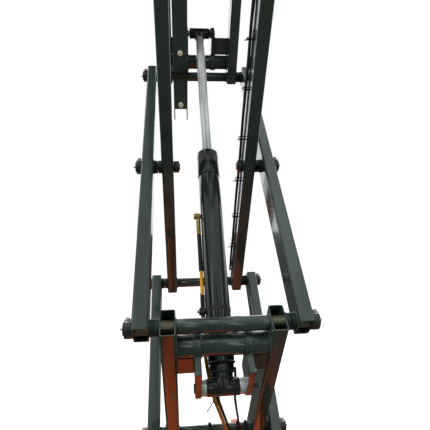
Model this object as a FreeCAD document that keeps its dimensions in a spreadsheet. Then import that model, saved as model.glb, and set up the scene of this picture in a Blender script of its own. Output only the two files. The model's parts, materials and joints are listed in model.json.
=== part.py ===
"""Three-stage hydraulic scissor lift table, drawn raised.

Frame: origin at the middle of the base's underside, +X along the table towards the roller end,
+Y to the left, +Z up.  The fixed pivots are at the -X end.

Every stage is one pair of crossed frames.  An outer frame climbs from the -X end to the +X end and
an inner frame climbs the other way between its arms.  Each frame is drawn flat, along X, with its
middle pivot at the origin, and is then turned to the working angle and lifted to its stage.
"""
import FreeCAD, Part
import math
import os

from FreeCAD import Placement, Rotation, Vector

os.makedirs("parts", exist_ok=True)
doc = FreeCAD.newDocument("scissor_lift_table")

# ---------------------------------------------------------------- driving dimensions, mm and degrees

DIMENSIONS = (
    ("arm_pitch", 1470, "end pivot to end pivot of one arm"),
    ("arm_overhang", 24, "arm tube beyond its end pivots"),
    ("arm_tall", 100, "arm tube, tall side"),
    ("arm_thick", 50, "arm tube, across the table"),
    ("arm_wall", 4, "arm tube wall"),
    ("arm_corner", 8, "arm tube corner radius"),
    ("arm_angle", 51.3, "arm slope when raised"),
    ("outer_centre", 260, "outer arm centre from the table's middle"),
    ("inner_centre", 176, "inner arm centre from the table's middle"),
    ("pivot_start", -760, "X of the fixed pivots"),
    ("pivot_rise", 130, "height of the base pivots"),
    ("pin_radius", 15, "pivot pins"),
    ("pin_play", 0.05, "radial clearance of a pin in its bush"),
    ("bush_radius", 22, "bush through an arm"),
    ("boss_radius", 27.5, "boss between the arms"),
    ("boss_deep", 16, "boss length"),
    ("collar_radius", 30, "collar outside an arm"),
    ("collar_deep", 24, "collar length"),
    ("cap_radius", 21, "end cap on a collar"),
    ("cap_deep", 5, "end cap length"),
    ("tube_radius", 24.15, "cross tube"),
    ("tube_wall", 4, "cross tube wall"),
    ("lug_tube_radius", 36.5, "cross tube that carries the cylinder lugs"),
    ("lug_tube_along", 74, "lug tube from the end pivot, along the arm"),
    ("lug_tube_off", 21, "lug tube from the end pivot, across the arm"),
    ("cylinder_along", 204, "cylinder pin from the end pivot, along the arm"),
    ("cylinder_off", 95.5, "cylinder pin from the end pivot, across the arm"),
    ("lug_thick", 20, "cylinder lug plate"),
    ("lower_lug_inside", 73, "inside face of a lower lug from the table's middle"),
    ("upper_lug_inside", 62, "inside face of an upper lug from the table's middle"),
    ("lug_ring", 42, "lug radius round its tube"),
    ("lug_end", 31, "lug radius round its pin"),
    ("stiffener_thick", 10, "plate between lug and arm"),
    ("stiffener_long", 85, "plate between lug and arm"),
    ("stiffener_off", 40, "plate between lug and arm, from the arm's middle line"),
    ("barrel_radius", 45, "cylinder barrel"),
    ("barrel_bore", 37.5, "cylinder bore radius"),
    ("piston_gap", 0.05, "radial clearance of rod and piston"),
    ("rod_radius", 22.5, "piston rod"),
    ("gland_radius", 46.5, "cylinder head sleeve"),
    ("barrel_start", 75, "barrel from its base pin"),
    ("barrel_end", 931, "barrel from its base pin"),
    ("gland_start", 833, "head sleeve from the base pin"),
    ("gland_end", 961, "head sleeve from the base pin"),
    ("piston_start", 816, "piston from the base pin"),
    ("piston_long", 42, "piston"),
    ("rod_neck", 46, "rod eye's neck from its pin"),
    ("base_eye_radius", 28.5, "cylinder base eye"),
    ("rod_eye_radius", 27, "rod eye"),
    ("eye_long", 107, "cylinder eyes, across the table"),
    ("spacer_radius", 26, "spacer rings beside the base eye"),
    ("roller_radius", 49.7, "track rollers"),
    ("roller_wide", 38, "track rollers"),
    ("track_room", 51, "half the clear height of a roller track"),
    ("track_flange", 10, "track flange under the load"),
    ("track_lip", 8, "track flange that only guides"),
    ("track_web", 8, "track web"),
    ("track_wide", 56, "roller track, across the table"),
    ("roller_gap", 7, "roller from its arm"),
    ("frame_long", 1700, "base and platform"),
    ("member_end", 820, "outermost base cross member from the middle"),
    ("member_pitch", 410, "cross member to cross member"),
    ("platform_member_end", 815, "outermost platform cross member from the middle"),
    ("rail_wide", 100, "base side rail"),
    ("rail_tall", 70, "base side rail"),
    ("rail_centre", 254, "base side rail from the table's middle"),
    ("rail_wall", 5, "base and platform tubes"),
    ("member_size", 60, "cross members, square tube"),
    ("cover_thick", 4, "base cover plate"),
    ("cheek_thick", 12, "bracket cheeks"),
    ("cheek_radius", 45, "bracket cheeks"),
    ("cheek_gap", 5, "bracket cheek from its arm"),
    ("anchor_hole", 7, "anchor hole radius"),
    ("anchor_thick", 12, "anchor plates"),
    ("anchor_long", 110, "anchor plates, along X"),
    ("anchor_wide", 76, "anchor plates, along Y"),
    ("platform_rail_wide", 76, "platform side rail"),
    ("platform_rail_centre", 327, "platform side rail from the table's middle"),
    ("deck_wide", 752, "platform deck"),
    ("deck_thick", 6, "platform deck"),
    ("skirt_tall", 66, "deck edge turned down"),
    ("skirt_thick", 4, "deck edge turned down"),
    ("prop_inside", 70, "prop's inside edge from the table's middle"),
    ("prop_wide", 76, "prop channel"),
    ("prop_plate", 6, "prop channel plate"),
    ("prop_flange", 38, "prop channel flange"),
    ("prop_off", -92, "prop web from the arm's middle line"),
    ("prop_start", 46, "prop channel from its pivot"),
    ("prop_web_end", 887, "prop web from its pivot"),
    ("prop_fork_end", 950, "prop fork from its pivot"),
    ("hose_radius", 6.5, "pressure hose"),
    ("return_radius", 5.5, "return hose"),
    ("cable_radius", 4.5, "control cable"),
)

sheet = doc.addObject("Spreadsheet::Sheet", "dim")
for row, (alias, amount, meaning) in enumerate(DIMENSIONS, start=1):
    sheet.set(f"A{row}", meaning)
    sheet.set(f"B{row}", str(amount))
    sheet.setAlias(f"B{row}", alias)
doc.recompute()


def value(formula):
    """What a formula over the sheet's cells comes to."""
    return float(sheet.evalExpression(formula))


PITCH = value("dim.arm_pitch")
ANGLE = value("dim.arm_angle")
STAGE_LONG = PITCH * math.cos(math.radians(ANGLE))
STAGE_TALL = PITCH * math.sin(math.radians(ANGLE))
START = value("dim.pivot_start")
RISE = value("dim.pivot_rise")
TOP_PIVOT = RISE + 3 * STAGE_TALL
HALF_FRAME = value("dim.frame_long / 2")
PIN = value("dim.pin_radius")
RUNNING = value("dim.pin_radius + dim.pin_play")
OUTER_IN = value("dim.outer_centre - dim.arm_thick / 2")
OUTER_OUT = value("dim.outer_centre + dim.arm_thick / 2")
INNER_IN = value("dim.inner_centre - dim.arm_thick / 2")
INNER_OUT = value("dim.inner_centre + dim.arm_thick / 2")
BASE_CHEEK_IN = OUTER_IN - value("dim.cheek_gap + dim.cheek_thick") - 3
SIDES = (("left", 1), ("right", -1))
STAGES = ("lower", "middle", "upper")
BOTTOM, MIDDLE, TOP = -PITCH / 2, 0.0, PITCH / 2
ACROSS = Vector(0, 1, 0)

nodes = []


# ------------------------------------------------------------------------------ small shape helpers

def add(kind, name, **formulas):
    """A new object whose sizes are bound to the sheet."""
    item = doc.addObject(kind, name)
    for prop, formula in formulas.items():
        item.setExpression(prop, formula)
    return item


def block(name, long, wide, tall, centre):
    """A box with these sizes (formulas along X, Y and Z) round a centre point."""
    item = add("Part::Box", name, Length=long, Width=wide, Height=tall)
    corner = Vector(value(long) / 2, value(wide) / 2, value(tall) / 2)
    item.Placement.Base = Vector(*centre) - corner
    return item


def drum(name, radius, long, start, direction=ACROSS):
    """A cylinder from a start point along a direction."""
    item = add("Part::Cylinder", name, Radius=radius, Height=long)
    item.Placement = Placement(Vector(*start), Rotation(Vector(0, 0, 1), direction))
    return item


def cut(name, base, tools):
    item = doc.addObject("Part::Cut", name)
    item.Base = base
    item.Tool = tools[0] if len(tools) == 1 else fuse(name + "_tools", tools)
    return item


def fuse(name, pieces):
    item = doc.addObject("Part::MultiFuse", name)
    item.Shapes = pieces
    return item


def collect(name, pieces):
    """Separate solids that share one node."""
    item = doc.addObject("Part::Compound", name)
    item.Links = pieces
    return item


def rounded(name, base, radius, direction):
    """A box whose four edges along a direction are rounded."""
    doc.recompute()
    wanted = []
    for number, edge in enumerate(base.Shape.Edges, start=1):
        run = edge.Vertexes[1].Point - edge.Vertexes[0].Point
        if run.cross(direction).Length < 1e-6:
            wanted.append((number, value(radius), value(radius)))
    item = doc.addObject("Part::Fillet", name)
    item.Base = base
    item.Edges = wanted
    return item


def hollow_tube(name, long, wide, tall, wall, corner, centre=(0, 0, 0), along="X"):
    """A rectangular tube along X or Y, with rounded corners and open ends."""
    spare = f"{long} + 20"
    inside_wide, inside_tall = f"{wide} - 2 * {wall}", f"{tall} - 2 * {wall}"
    direction = Vector(1, 0, 0)
    outside = (long, wide, tall)
    inside = (spare, inside_wide, inside_tall)
    if along == "Y":
        direction = ACROSS
        outside = (wide, long, tall)
        inside = (inside_wide, spare, inside_tall)
    skin = rounded(name + "_skin", block(name + "_outside", *outside, centre), corner, direction)
    core = rounded(
        name + "_core", block(name + "_inside", *inside, centre), f"{corner} - {wall} + 1", direction
    )
    return cut(name, skin, [core])


def turned(name, profile, start=(0, 0, 0), direction=ACROSS):
    """A turned piece: (radius, distance) points of its half section, spun round a direction."""
    points = [Vector(radius, 0, distance) for radius, distance in profile]
    wire = Part.makePolygon(points + points[:1])
    item = doc.addObject("Part::Feature", name)
    item.Shape = Part.Face(wire).revolve(Vector(0, 0, 0), Vector(0, 0, 1), 360)
    item.Placement = Placement(Vector(*start), Rotation(Vector(0, 0, 1), direction))
    return item


def finish(label, item, placement=None):
    """Names a finished sub-part and puts it in its place."""
    if placement is not None:
        item.Placement = placement.multiply(item.Placement)
    item.Label = label
    nodes.append(item)
    return item


# ------------------------------------------------------------------------------- frames in space

def frame_place(kind, stage):
    """Where a frame drawn flat goes: outer frames climb towards +X, inner frames towards -X."""
    turn = -ANGLE if kind == "outer" else ANGLE
    middle = Vector(START + STAGE_LONG / 2, 0, RISE + (stage + 0.5) * STAGE_TALL)
    return Placement(middle, Rotation(ACROSS, turn))


def in_world(kind, stage, along, across, off):
    """A point of a frame drawn flat, in the table's own frame."""
    return frame_place(kind, stage).multVec(Vector(along, across, off))


def sided(side, low, high):
    """Start and length along +Y of a span between two distances from the middle."""
    return (low, high - low) if side > 0 else (-high, high - low)


def ring_piece(name, spans, side, along):
    """A pin or bush about one pivot: (inside, outside, radius, bore) spans out from the middle."""
    pieces = []
    for number, (low, high, radius, bore) in enumerate(spans):
        start, long = sided(side, low, high)
        part = turned(f"{name}_{number}", ((bore, 0), (radius, 0), (radius, long), (bore, long)),
                      (along, start, 0))
        pieces.append(part)
    return pieces[0] if len(pieces) == 1 else fuse(name, pieces)


# ---------------------------------------------------------------------------------------- arms

def make_arm(stage_name, stage, kind, side_name, side):
    name = f"{stage_name}_{kind}_arm_{side_name}"
    centre = (0, side * value(f"dim.{kind}_centre"), 0)
    tube = hollow_tube(
        name + "_tube", "dim.arm_pitch + 2 * dim.arm_overhang", "dim.arm_thick", "dim.arm_tall",
        "dim.arm_wall", "dim.arm_corner", centre,
    )
    bores = [
        drum(f"{name}_bore_{number}", "dim.bush_radius", "dim.arm_thick + 20",
             (along, centre[1] - value("dim.arm_thick / 2 + 10"), 0))
        for number, along in enumerate((BOTTOM, MIDDLE, TOP))
    ]
    finish(name, cut(name, tube, bores), frame_place(kind, stage))


def bush_spans(kind, reach_in, reach_out, boss):
    """A bush through an arm, with a boss on the side that faces the other frame."""
    low, high = (OUTER_IN, OUTER_OUT) if kind == "outer" else (INNER_IN, INNER_OUT)
    bush, large = value("dim.bush_radius"), value("dim.boss_radius")
    spans = [(low - reach_in, high + reach_out, bush, RUNNING)]
    if boss:
        deep = value("dim.boss_deep")
        spans.append((low - deep, low, large, RUNNING) if kind == "outer"
                     else (high, high + deep, large, RUNNING))
    return spans


def make_bushes(stage_name, stage, kind):
    """The six bushes of a frame.  The frame's ends at base, platform and rollers have no boss."""
    name = f"{stage_name}_{kind}_bushes"
    pieces = []
    for number, along in enumerate((BOTTOM, MIDDLE, TOP)):
        at_base = stage == 0 and kind == "outer" and along == BOTTOM
        at_platform = stage == 2 and kind == "inner" and along == BOTTOM
        at_roller = along == TOP and (kind, stage) in (("inner", 0), ("outer", 2))
        reach_in = reach_out = 0.0
        if at_base:
            reach_in, reach_out = 7.5, 4.5
        if at_platform:
            reach_in, reach_out = 7.5, 7.5
        boss = not (at_base or at_platform or at_roller)
        for side_name, side in SIDES:
            spans = bush_spans(kind, reach_in, reach_out, boss)
            pieces.append(ring_piece(f"{name}_{number}_{side_name}", spans, side, along))
    finish(name, collect(name, pieces), frame_place(kind, stage))


def joint_pin_spans(nut):
    """A pin through both arms, with its collar outside and, where no tube is in the way, a nut."""
    collar_end = OUTER_OUT + value("dim.collar_deep")
    cap_end = collar_end + value("dim.cap_deep")
    spans = [
        (INNER_IN - 10, collar_end, PIN, 0),
        (OUTER_OUT, collar_end, value("dim.collar_radius"), 0),
        (collar_end, cap_end, value("dim.cap_radius"), 0),
    ]
    if nut:
        spans[0] = (INNER_IN - 28, collar_end, PIN, 0)
        spans.append((INNER_IN - 24, INNER_IN - 0.5, 25.5, 0))
    return spans


def make_pins(stage_name, stage):
    """The pins that an outer frame carries: its lower end, its middle and its upper end."""
    name = f"{stage_name}_outer_pins"
    pieces = []
    for side_name, side in SIDES:
        if stage == 0:
            cheek_out = OUTER_OUT + value("dim.cheek_gap + dim.cheek_thick")
            lower = [(BASE_CHEEK_IN - 4, cheek_out + 12, PIN, 0), (cheek_out + 0.5, cheek_out + 12, 24, 0)]
        else:
            lower = joint_pin_spans(False)
        pieces.append(ring_piece(f"{name}_low_{side_name}", lower, side, BOTTOM))
        pieces.append(ring_piece(f"{name}_mid_{side_name}", joint_pin_spans(stage == 1), side, MIDDLE))
        if stage < 2:
            pieces.append(ring_piece(f"{name}_top_{side_name}", joint_pin_spans(False), side, TOP))
    finish(name, collect(name, pieces), frame_place("outer", stage))


def cross_tube(name, along, off=0.0, radius="dim.tube_radius"):
    """A round tube from inner arm to inner arm."""
    outside = value(radius)
    bore = outside - value("dim.tube_wall")
    long = 2 * INNER_IN
    return turned(name, ((bore, 0), (outside, 0), (outside, long), (bore, long)), (along, -INNER_IN, off))


def make_cross_tubes(stage_name, stage):
    """The tubes that tie an inner frame's arms together."""
    name = f"{stage_name}_cross_tubes"
    lug_along, lug_off = value("dim.lug_tube_along"), value("dim.lug_tube_off")
    tubes = [cross_tube(name + "_roller_end", TOP)]
    if stage == 0:
        tubes.append(cross_tube(name + "_lug", BOTTOM + lug_along, -lug_off, "dim.lug_tube_radius"))
    if stage == 2:
        tubes.append(cross_tube(name + "_lug", TOP - lug_along, lug_off, "dim.lug_tube_radius"))
        tubes.append(cross_tube(name + "_platform_end", BOTTOM + 110))
    else:
        tubes.append(cross_tube(name + "_pivot_end", BOTTOM))
    if stage != 1:
        tubes.append(cross_tube(name + "_middle", MIDDLE))
    finish(name, collect(name, tubes), frame_place("inner", stage))


for stage, stage_name in enumerate(STAGES):
    for kind in ("outer", "inner"):
        for side_name, side in SIDES:
            make_arm(stage_name, stage, kind, side_name, side)
        make_bushes(stage_name, stage, kind)
    make_pins(stage_name, stage)
    make_cross_tubes(stage_name, stage)


# --------------------------------------------------------------------- lugs of the hydraulic cylinder

def make_lugs(name, stage, flip, inside):
    """Two lug plates hung from the lug tube, and the plates that stiffen them against the arms.

    flip is 1 under the lower frame's top end and -1 above the upper frame's bottom end, which is
    the same bracket turned half round.
    """
    end = BOTTOM if flip > 0 else TOP
    tube = Vector(end + flip * value("dim.lug_tube_along"), 0, -flip * value("dim.lug_tube_off"))
    pin = Vector(end + flip * value("dim.cylinder_along"), 0, -flip * value("dim.cylinder_off"))
    edge = pin.z - flip * value("dim.lug_end")
    outside = inside + value("dim.lug_thick")
    pieces = []
    for side_name, side in SIDES:
        low, long = sided(side, inside, outside)
        plate = block(f"{name}_plate_{side_name}", f"{abs(pin.x - tube.x)}", "dim.lug_thick",
                      f"{abs(edge - tube.z)}",
                      ((tube.x + pin.x) / 2, low + long / 2, (edge + tube.z) / 2))
        rounds = [
            drum(f"{name}_ring_{side_name}", "dim.lug_ring", "dim.lug_thick", (tube.x, low, tube.z)),
            drum(f"{name}_round_{side_name}", "dim.lug_end", "dim.lug_thick", (pin.x, low, pin.z)),
        ]
        holes = [
            drum(f"{name}_seat_{side_name}", "dim.lug_tube_radius", "dim.lug_thick + 2",
                 (tube.x, low - 1, tube.z)),
            drum(f"{name}_eye_{side_name}", "dim.pin_radius + dim.pin_play", "dim.lug_thick + 2",
                 (pin.x, low - 1, pin.z)),
        ]
        lug = cut(f"{name}_lug_{side_name}", fuse(f"{name}_body_{side_name}", [plate] + rounds), holes)
        low, long = sided(side, outside, INNER_IN)
        start = tube.x + flip * value("dim.lug_tube_radius + dim.stiffener_long / 2 + 0.5")
        stiffener = block(f"{name}_stiffener_{side_name}", "dim.stiffener_long", f"{long}",
                          "dim.stiffener_thick", (start, low + long / 2, -flip * value("dim.stiffener_off")))
        pieces += [lug, stiffener]
    finish(name, collect(name, pieces), frame_place("inner", stage))


LOWER_LUG_IN = value("dim.lower_lug_inside")
UPPER_LUG_IN = value("dim.upper_lug_inside")
LUG_THICK = value("dim.lug_thick")
make_lugs("lower_cylinder_lugs", 0, 1, LOWER_LUG_IN)
make_lugs("upper_cylinder_lugs", 2, -1, UPPER_LUG_IN)


# ----------------------------------------------------------------------------- hydraulic cylinder

BASE_PIN = in_world("inner", 0, BOTTOM + value("dim.cylinder_along"), 0, -value("dim.cylinder_off"))
ROD_PIN = in_world("inner", 2, TOP - value("dim.cylinder_along"), 0, value("dim.cylinder_off"))
STROKE_LINE = ROD_PIN - BASE_PIN
CYLINDER_LONG = STROKE_LINE.Length
CYLINDER = Placement(BASE_PIN, Rotation(Vector(0, 0, 1), STROKE_LINE))
HALF_EYE = value("dim.eye_long / 2")
UP = Vector(0, 0, 1)


def make_barrel():
    bore, skin = value("dim.barrel_bore"), value("dim.barrel_radius")
    start, end = value("dim.barrel_start"), value("dim.barrel_end")
    floor = start + 18
    tube = turned("barrel_tube", ((0, start), (skin, start), (skin, end), (bore, end), (bore, floor),
                                  (0, floor)), direction=UP)
    finish("cylinder_barrel", tube, CYLINDER)


def make_gland():
    bore, skin, sleeve = value("dim.barrel_bore"), value("dim.barrel_radius"), value("dim.gland_radius")
    guide = value("dim.rod_radius + dim.piston_gap")
    start, seat, end = value("dim.gland_start"), value("dim.barrel_end"), value("dim.gland_end")
    inner_face, lead = seat - 60, 7
    profile = (
        (guide, inner_face), (bore, inner_face), (bore, seat), (skin, seat), (skin, start),
        (sleeve, start), (sleeve, end - lead), (sleeve - lead, end), (guide, end),
    )
    finish("cylinder_gland", turned("gland_turned", profile, direction=UP), CYLINDER)


def make_base_eye():
    eye = drum("base_eye_tube", "dim.base_eye_radius", "dim.eye_long", (0, -HALF_EYE, 0))
    skin, start = value("dim.barrel_radius") - 3, value("dim.barrel_start")
    plug = turned("base_eye_plug", ((0, 0), (skin - 6, 0), (skin - 6, 40), (skin, 46), (skin, start),
                                    (0, start)), direction=UP)
    bore = drum("base_eye_bore", "dim.pin_radius + dim.pin_play", "dim.eye_long + 2",
                (0, -HALF_EYE - 1, 0))
    finish("cylinder_base_eye", cut("base_eye_cut", fuse("base_eye_body", [eye, plug]), [bore]), CYLINDER)


def make_rod():
    """The rod with its piston, a turned piece that slides in the barrel and the gland."""
    rod, piston = value("dim.rod_radius"), value("dim.barrel_bore - dim.piston_gap")
    back, end = value("dim.piston_start"), CYLINDER_LONG - value("dim.rod_neck")
    front = back + value("dim.piston_long")
    profile = ((0, back), (piston, back), (piston, front), (rod, front), (rod, end), (0, end))
    finish("piston_rod", turned("rod_turned", profile, direction=UP), CYLINDER)


def make_rod_eye():
    eye = drum("rod_eye_tube", "dim.rod_eye_radius", "dim.eye_long", (0, -HALF_EYE, CYLINDER_LONG))
    neck = drum("rod_eye_neck", "dim.rod_radius + 2.5", "dim.rod_neck",
                (0, 0, CYLINDER_LONG - value("dim.rod_neck")), UP)
    bore = drum("rod_eye_bore", "dim.pin_radius + dim.pin_play", "dim.eye_long + 2",
                (0, -HALF_EYE - 1, CYLINDER_LONG))
    finish("rod_eye", cut("rod_eye_cut", fuse("rod_eye_body", [eye, neck]), [bore]), CYLINDER)


def make_base_pin():
    """The pin through the base eye and both lower lugs, and the spacer ring at each side."""
    lug_out, stud = LOWER_LUG_IN + LUG_THICK, 7
    pin = turned("base_pin", ((0, -lug_out - 24), (stud, -lug_out - 24), (stud, -lug_out - 4),
                              (PIN, -lug_out - 4), (PIN, lug_out + 4), (0, lug_out + 4)))
    rings = []
    for side_name, side in SIDES:
        low, long = sided(side, HALF_EYE + 0.3, LOWER_LUG_IN)
        outer = value("dim.spacer_radius")
        rings.append(turned(f"base_spacer_{side_name}", ((RUNNING, 0), (outer, 0), (outer, long),
                                                         (RUNNING, long)), (0, low, 0)))
    finish("cylinder_base_pin", collect("base_pin_set", [pin] + rings), Placement(BASE_PIN, Rotation()))


def make_rod_pin_stubs():
    """The upper lugs' pin ends, which stop just short of the rod eye."""
    stubs = []
    for side_name, side in SIDES:
        start, long = sided(side, HALF_EYE + 1, UPPER_LUG_IN + LUG_THICK + 4)
        stubs.append(drum(f"rod_stub_{side_name}", "dim.pin_radius", f"{long}", (0, start, 0)))
    finish("rod_pin_stubs", collect("rod_stubs", stubs), Placement(ROD_PIN, Rotation()))


ELBOW_UP, ELBOW_OUT, ELBOW_DOWN = 642, 55, 74


def make_hose_fitting():
    """A banjo fitting: its bolt stands out of the barrel's left side and its stem points down."""
    skin = value("dim.barrel_radius")
    bolt = drum("elbow_bolt", "9", f"{ELBOW_OUT - skin + 8}", (0, skin, ELBOW_UP))
    head = drum("elbow_head", "12", "10", (0, ELBOW_OUT + 7.5, ELBOW_UP))
    banjo = drum("elbow_banjo", "13", "14", (0, ELBOW_OUT - 6.5, ELBOW_UP))
    stem = drum("elbow_stem", "8.5", f"{ELBOW_DOWN}", (0, ELBOW_OUT, ELBOW_UP - ELBOW_DOWN), UP)
    seat = drum("elbow_seat", "dim.barrel_radius", f"{ELBOW_DOWN + 40}", (0, 0, ELBOW_UP - ELBOW_DOWN - 10),
                UP)
    body = fuse("elbow_body", [bolt, head, banjo, stem])
    finish("hose_elbow", cut("elbow_cut", body, [seat]), CYLINDER)


make_barrel()
make_gland()
make_base_eye()
make_rod()
make_rod_eye()
make_base_pin()
make_rod_pin_stubs()
make_hose_fitting()


# ------------------------------------------------------------------------------ rollers and tracks

def make_roller(name, kind, stage, inner_end, low, side, nut):
    """A roller with its stub axle, which turns in the arm's end bush."""
    wide, radius = value("dim.roller_wide"), value("dim.roller_radius")
    spans = [(inner_end, low + wide, PIN, 0), (low, low + wide, radius, 0), (low - 4, low, 22, 0)]
    if nut:
        spans.append((inner_end, inner_end + 12, 24, 0))
    finish(name, ring_piece(name, spans, side, TOP), frame_place(kind, stage))


def make_tracks(name, pivot_tall, low, start, flange_below, lip_above):
    """Two channels that the rollers run in, open towards the table's middle."""
    room, web = value("dim.track_room"), value("dim.track_web")
    wide, end = value("dim.track_wide"), HALF_FRAME - 50
    long = end - start
    tall = 2 * room + flange_below + lip_above
    bottom = pivot_tall - room - flange_below
    pieces = []
    for side_name, side in SIDES:
        first, _ = sided(side, low, low + wide)
        whole = block(f"{name}_whole_{side_name}", f"{long}", f"{wide}", f"{tall}",
                      (start + long / 2, first + wide / 2, bottom + tall / 2))
        shift = -web if side > 0 else web
        core = block(f"{name}_core_{side_name}", f"{long} + 2", f"{wide}", "2 * dim.track_room",
                     (start + long / 2, first + wide / 2 + shift, pivot_tall))
        pieces.append(cut(f"{name}_{side_name}", whole, [core]))
    finish(name, collect(name, pieces))


ROLLER_GAP = value("dim.roller_gap")
UPPER_TRACK_IN = OUTER_OUT + 4
LOWER_TRACK_IN = INNER_OUT + 4
TRACK_START = START + STAGE_LONG - 80
for side_name, side in SIDES:
    make_roller(f"lower_roller_{side_name}", "inner", 0, INNER_IN - 10, INNER_OUT + ROLLER_GAP, side, False)
    make_roller(f"upper_roller_{side_name}", "outer", 2, OUTER_IN - 16, OUTER_OUT + ROLLER_GAP, side, True)
make_tracks("lower_roller_tracks", RISE, LOWER_TRACK_IN, TRACK_START,
            value("dim.track_flange") - 1, value("dim.track_lip"))
make_tracks("upper_roller_tracks", TOP_PIVOT, UPPER_TRACK_IN, TRACK_START,
            value("dim.track_lip"), value("dim.track_flange") - 1)


# ------------------------------------------------------------------------------------------- base

def make_rail(label, centre, long, wide, tall):
    tube = hollow_tube(label + "_tube", long, wide, tall, "dim.rail_wall",
                       "dim.rail_wall + 2", centre)
    finish(label, tube)


def make_cross_members(label, half_span, bottom, outermost):
    size, pitch = value("dim.member_size"), value("dim.member_pitch")
    places = (-outermost, -pitch, 0, pitch, outermost)
    tubes = [
        hollow_tube(f"{label}_{number}", f"{2 * half_span}", "dim.member_size", "dim.member_size",
                    "dim.rail_wall - 1", "dim.rail_wall + 1", (place, 0, bottom + size / 2), "Y")
        for number, place in enumerate(places)
    ]
    finish(label, collect(label, tubes))


def cheek_plate(name, side, low, pivot, foot):
    """A bracket plate with a round end about its pivot and a flat foot at the frame."""
    thick = value("dim.cheek_thick")
    start, _ = sided(side, low, low + thick)
    round_end = drum(name + "_round", "dim.cheek_radius", "dim.cheek_thick", (pivot.x, start, pivot.z))
    tall = abs(pivot.z - foot)
    flat = block(name + "_flat", "2 * dim.cheek_radius", "dim.cheek_thick", f"{tall}",
                 (pivot.x, start + thick / 2, (pivot.z + foot) / 2))
    bore = drum(name + "_bore", "dim.pin_radius + dim.pin_play", "dim.cheek_thick + 2",
                (pivot.x, start - 1, pivot.z))
    return cut(name, fuse(name + "_body", [round_end, flat]), [bore])


def make_brackets(label, pivot, foot, inside, outside):
    plates = [
        cheek_plate(f"{label}_{side_name}_{number}", side, low, pivot, foot)
        for side_name, side in SIDES for number, low in enumerate((inside, outside))
    ]
    finish(label, collect(label, plates))


def make_anchor_plates():
    """Four feet outside the side rails, each with one anchor hole."""
    half_x, half_y = HALF_FRAME - 90, value("dim.rail_centre + dim.rail_wide / 2 + dim.anchor_wide / 2")
    thick = value("dim.anchor_thick")
    plates = []
    for number, (x, y) in enumerate(((-half_x, -half_y), (half_x, -half_y), (-half_x, half_y),
                                     (half_x, half_y))):
        plate = block(f"anchor_plate_{number}", "dim.anchor_long", "dim.anchor_wide",
                      "dim.anchor_thick", (x, y, thick / 2))
        hole = drum(f"anchor_hole_{number}", "dim.anchor_hole", "dim.anchor_thick + 2", (x, y, -1), UP)
        plates.append(cut(f"anchor_{number}", plate, [hole]))
    finish("anchor_plates", collect("anchor_group", plates))


for side_name, side in SIDES:
    make_rail(f"base_rail_{side_name}", (0, side * value("dim.rail_centre"), value("dim.rail_tall / 2")),
              "dim.frame_long", "dim.rail_wide", "dim.rail_tall")
RAIL_IN = value("dim.rail_centre - dim.rail_wide / 2")
make_cross_members("base_cross_members", RAIL_IN, 0, value("dim.member_end"))
COVER_BOTTOM = value("dim.member_size")
COVER_TOP = COVER_BOTTOM + value("dim.cover_thick")
cover = block("cover_plate", "dim.frame_long", f"{2 * RAIL_IN - 1}", "dim.cover_thick",
              (0, 0, (COVER_BOTTOM + COVER_TOP) / 2))
finish("base_cover_plate", cover)
make_brackets("fixed_pivot_brackets", Vector(START, 0, RISE), value("dim.rail_tall"), BASE_CHEEK_IN,
              OUTER_OUT + value("dim.cheek_gap"))
make_anchor_plates()


# ------------------------------------------------------------------------- hydraulic power pack

TANK_FROM, TANK_TO, TANK_HALF, TANK_TALL = -330, -30, 95, 112
BLOCK_LONG, BLOCK_WIDE, BLOCK_TALL = 62, 90, 84
MOTOR_RADIUS, MOTOR_LONG = 46, 170


def make_tank():
    """A folded steel oil tank with its filler neck and cap."""
    shell = rounded(
        "tank_rounded",
        block("tank_box", f"{TANK_TO - TANK_FROM}", f"{2 * TANK_HALF}", f"{TANK_TALL}",
              ((TANK_FROM + TANK_TO) / 2, 0, COVER_TOP + TANK_TALL / 2)),
        "10", UP)
    cap_at = (TANK_TO - 45, 55, COVER_TOP + TANK_TALL)
    neck = turned("tank_neck", ((0, -1), (16, -1), (16, 6), (22, 6), (22, 22), (0, 22)), cap_at, UP)
    finish("hydraulic_tank", fuse("tank_whole", [shell, neck]))


def make_valve_block():
    """The block between tank and motor, with its relief cartridge and the two hose ports."""
    centre = (TANK_FROM - BLOCK_LONG / 2, 0, COVER_TOP + 10 + BLOCK_TALL / 2)
    body = block("valve_body", f"{BLOCK_LONG}", f"{BLOCK_WIDE}", f"{BLOCK_TALL}", centre)
    cartridge = turned("valve_cartridge", ((0, -1), (14, -1), (14, 14), (9, 14), (9, 26), (0, 26)),
                       (centre[0], 22, centre[2] + BLOCK_TALL / 2), UP)
    ports = [
        drum(f"valve_port_{number}", "10", "22", (centre[0], -BLOCK_WIDE / 2 + 1, height),
             Vector(0, -1, 0))
        for number, height in enumerate((HOSE_PORT_LOW, HOSE_PORT_HIGH))
    ]
    finish("valve_block", fuse("valve_whole", [body, cartridge] + ports))


HOSE_PORT_LOW = COVER_TOP + 32
HOSE_PORT_HIGH = COVER_TOP + 66
HOSE_PORT_X = TANK_FROM - BLOCK_LONG / 2
HOSE_PORT_Y = -BLOCK_WIDE / 2 - 21


def make_motor():
    """The electric motor that drives the pump, flanged to the valve block."""
    end = TANK_FROM - BLOCK_LONG
    profile = ((0, 0), (40, 0), (40, 8), (MOTOR_RADIUS, 8), (MOTOR_RADIUS, MOTOR_LONG - 34),
               (MOTOR_RADIUS + 2, MOTOR_LONG - 34), (MOTOR_RADIUS + 2, MOTOR_LONG - 6),
               (MOTOR_RADIUS - 6, MOTOR_LONG), (0, MOTOR_LONG))
    body = turned("motor_body", profile, (end, 0, COVER_TOP + 52), Vector(-1, 0, 0))
    box = block("motor_terminal_box", "64", "46", "24", (end - 75, 0, COVER_TOP + 52 + MOTOR_RADIUS + 8))
    finish("pump_motor", fuse("motor_whole", [body, box]))


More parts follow.
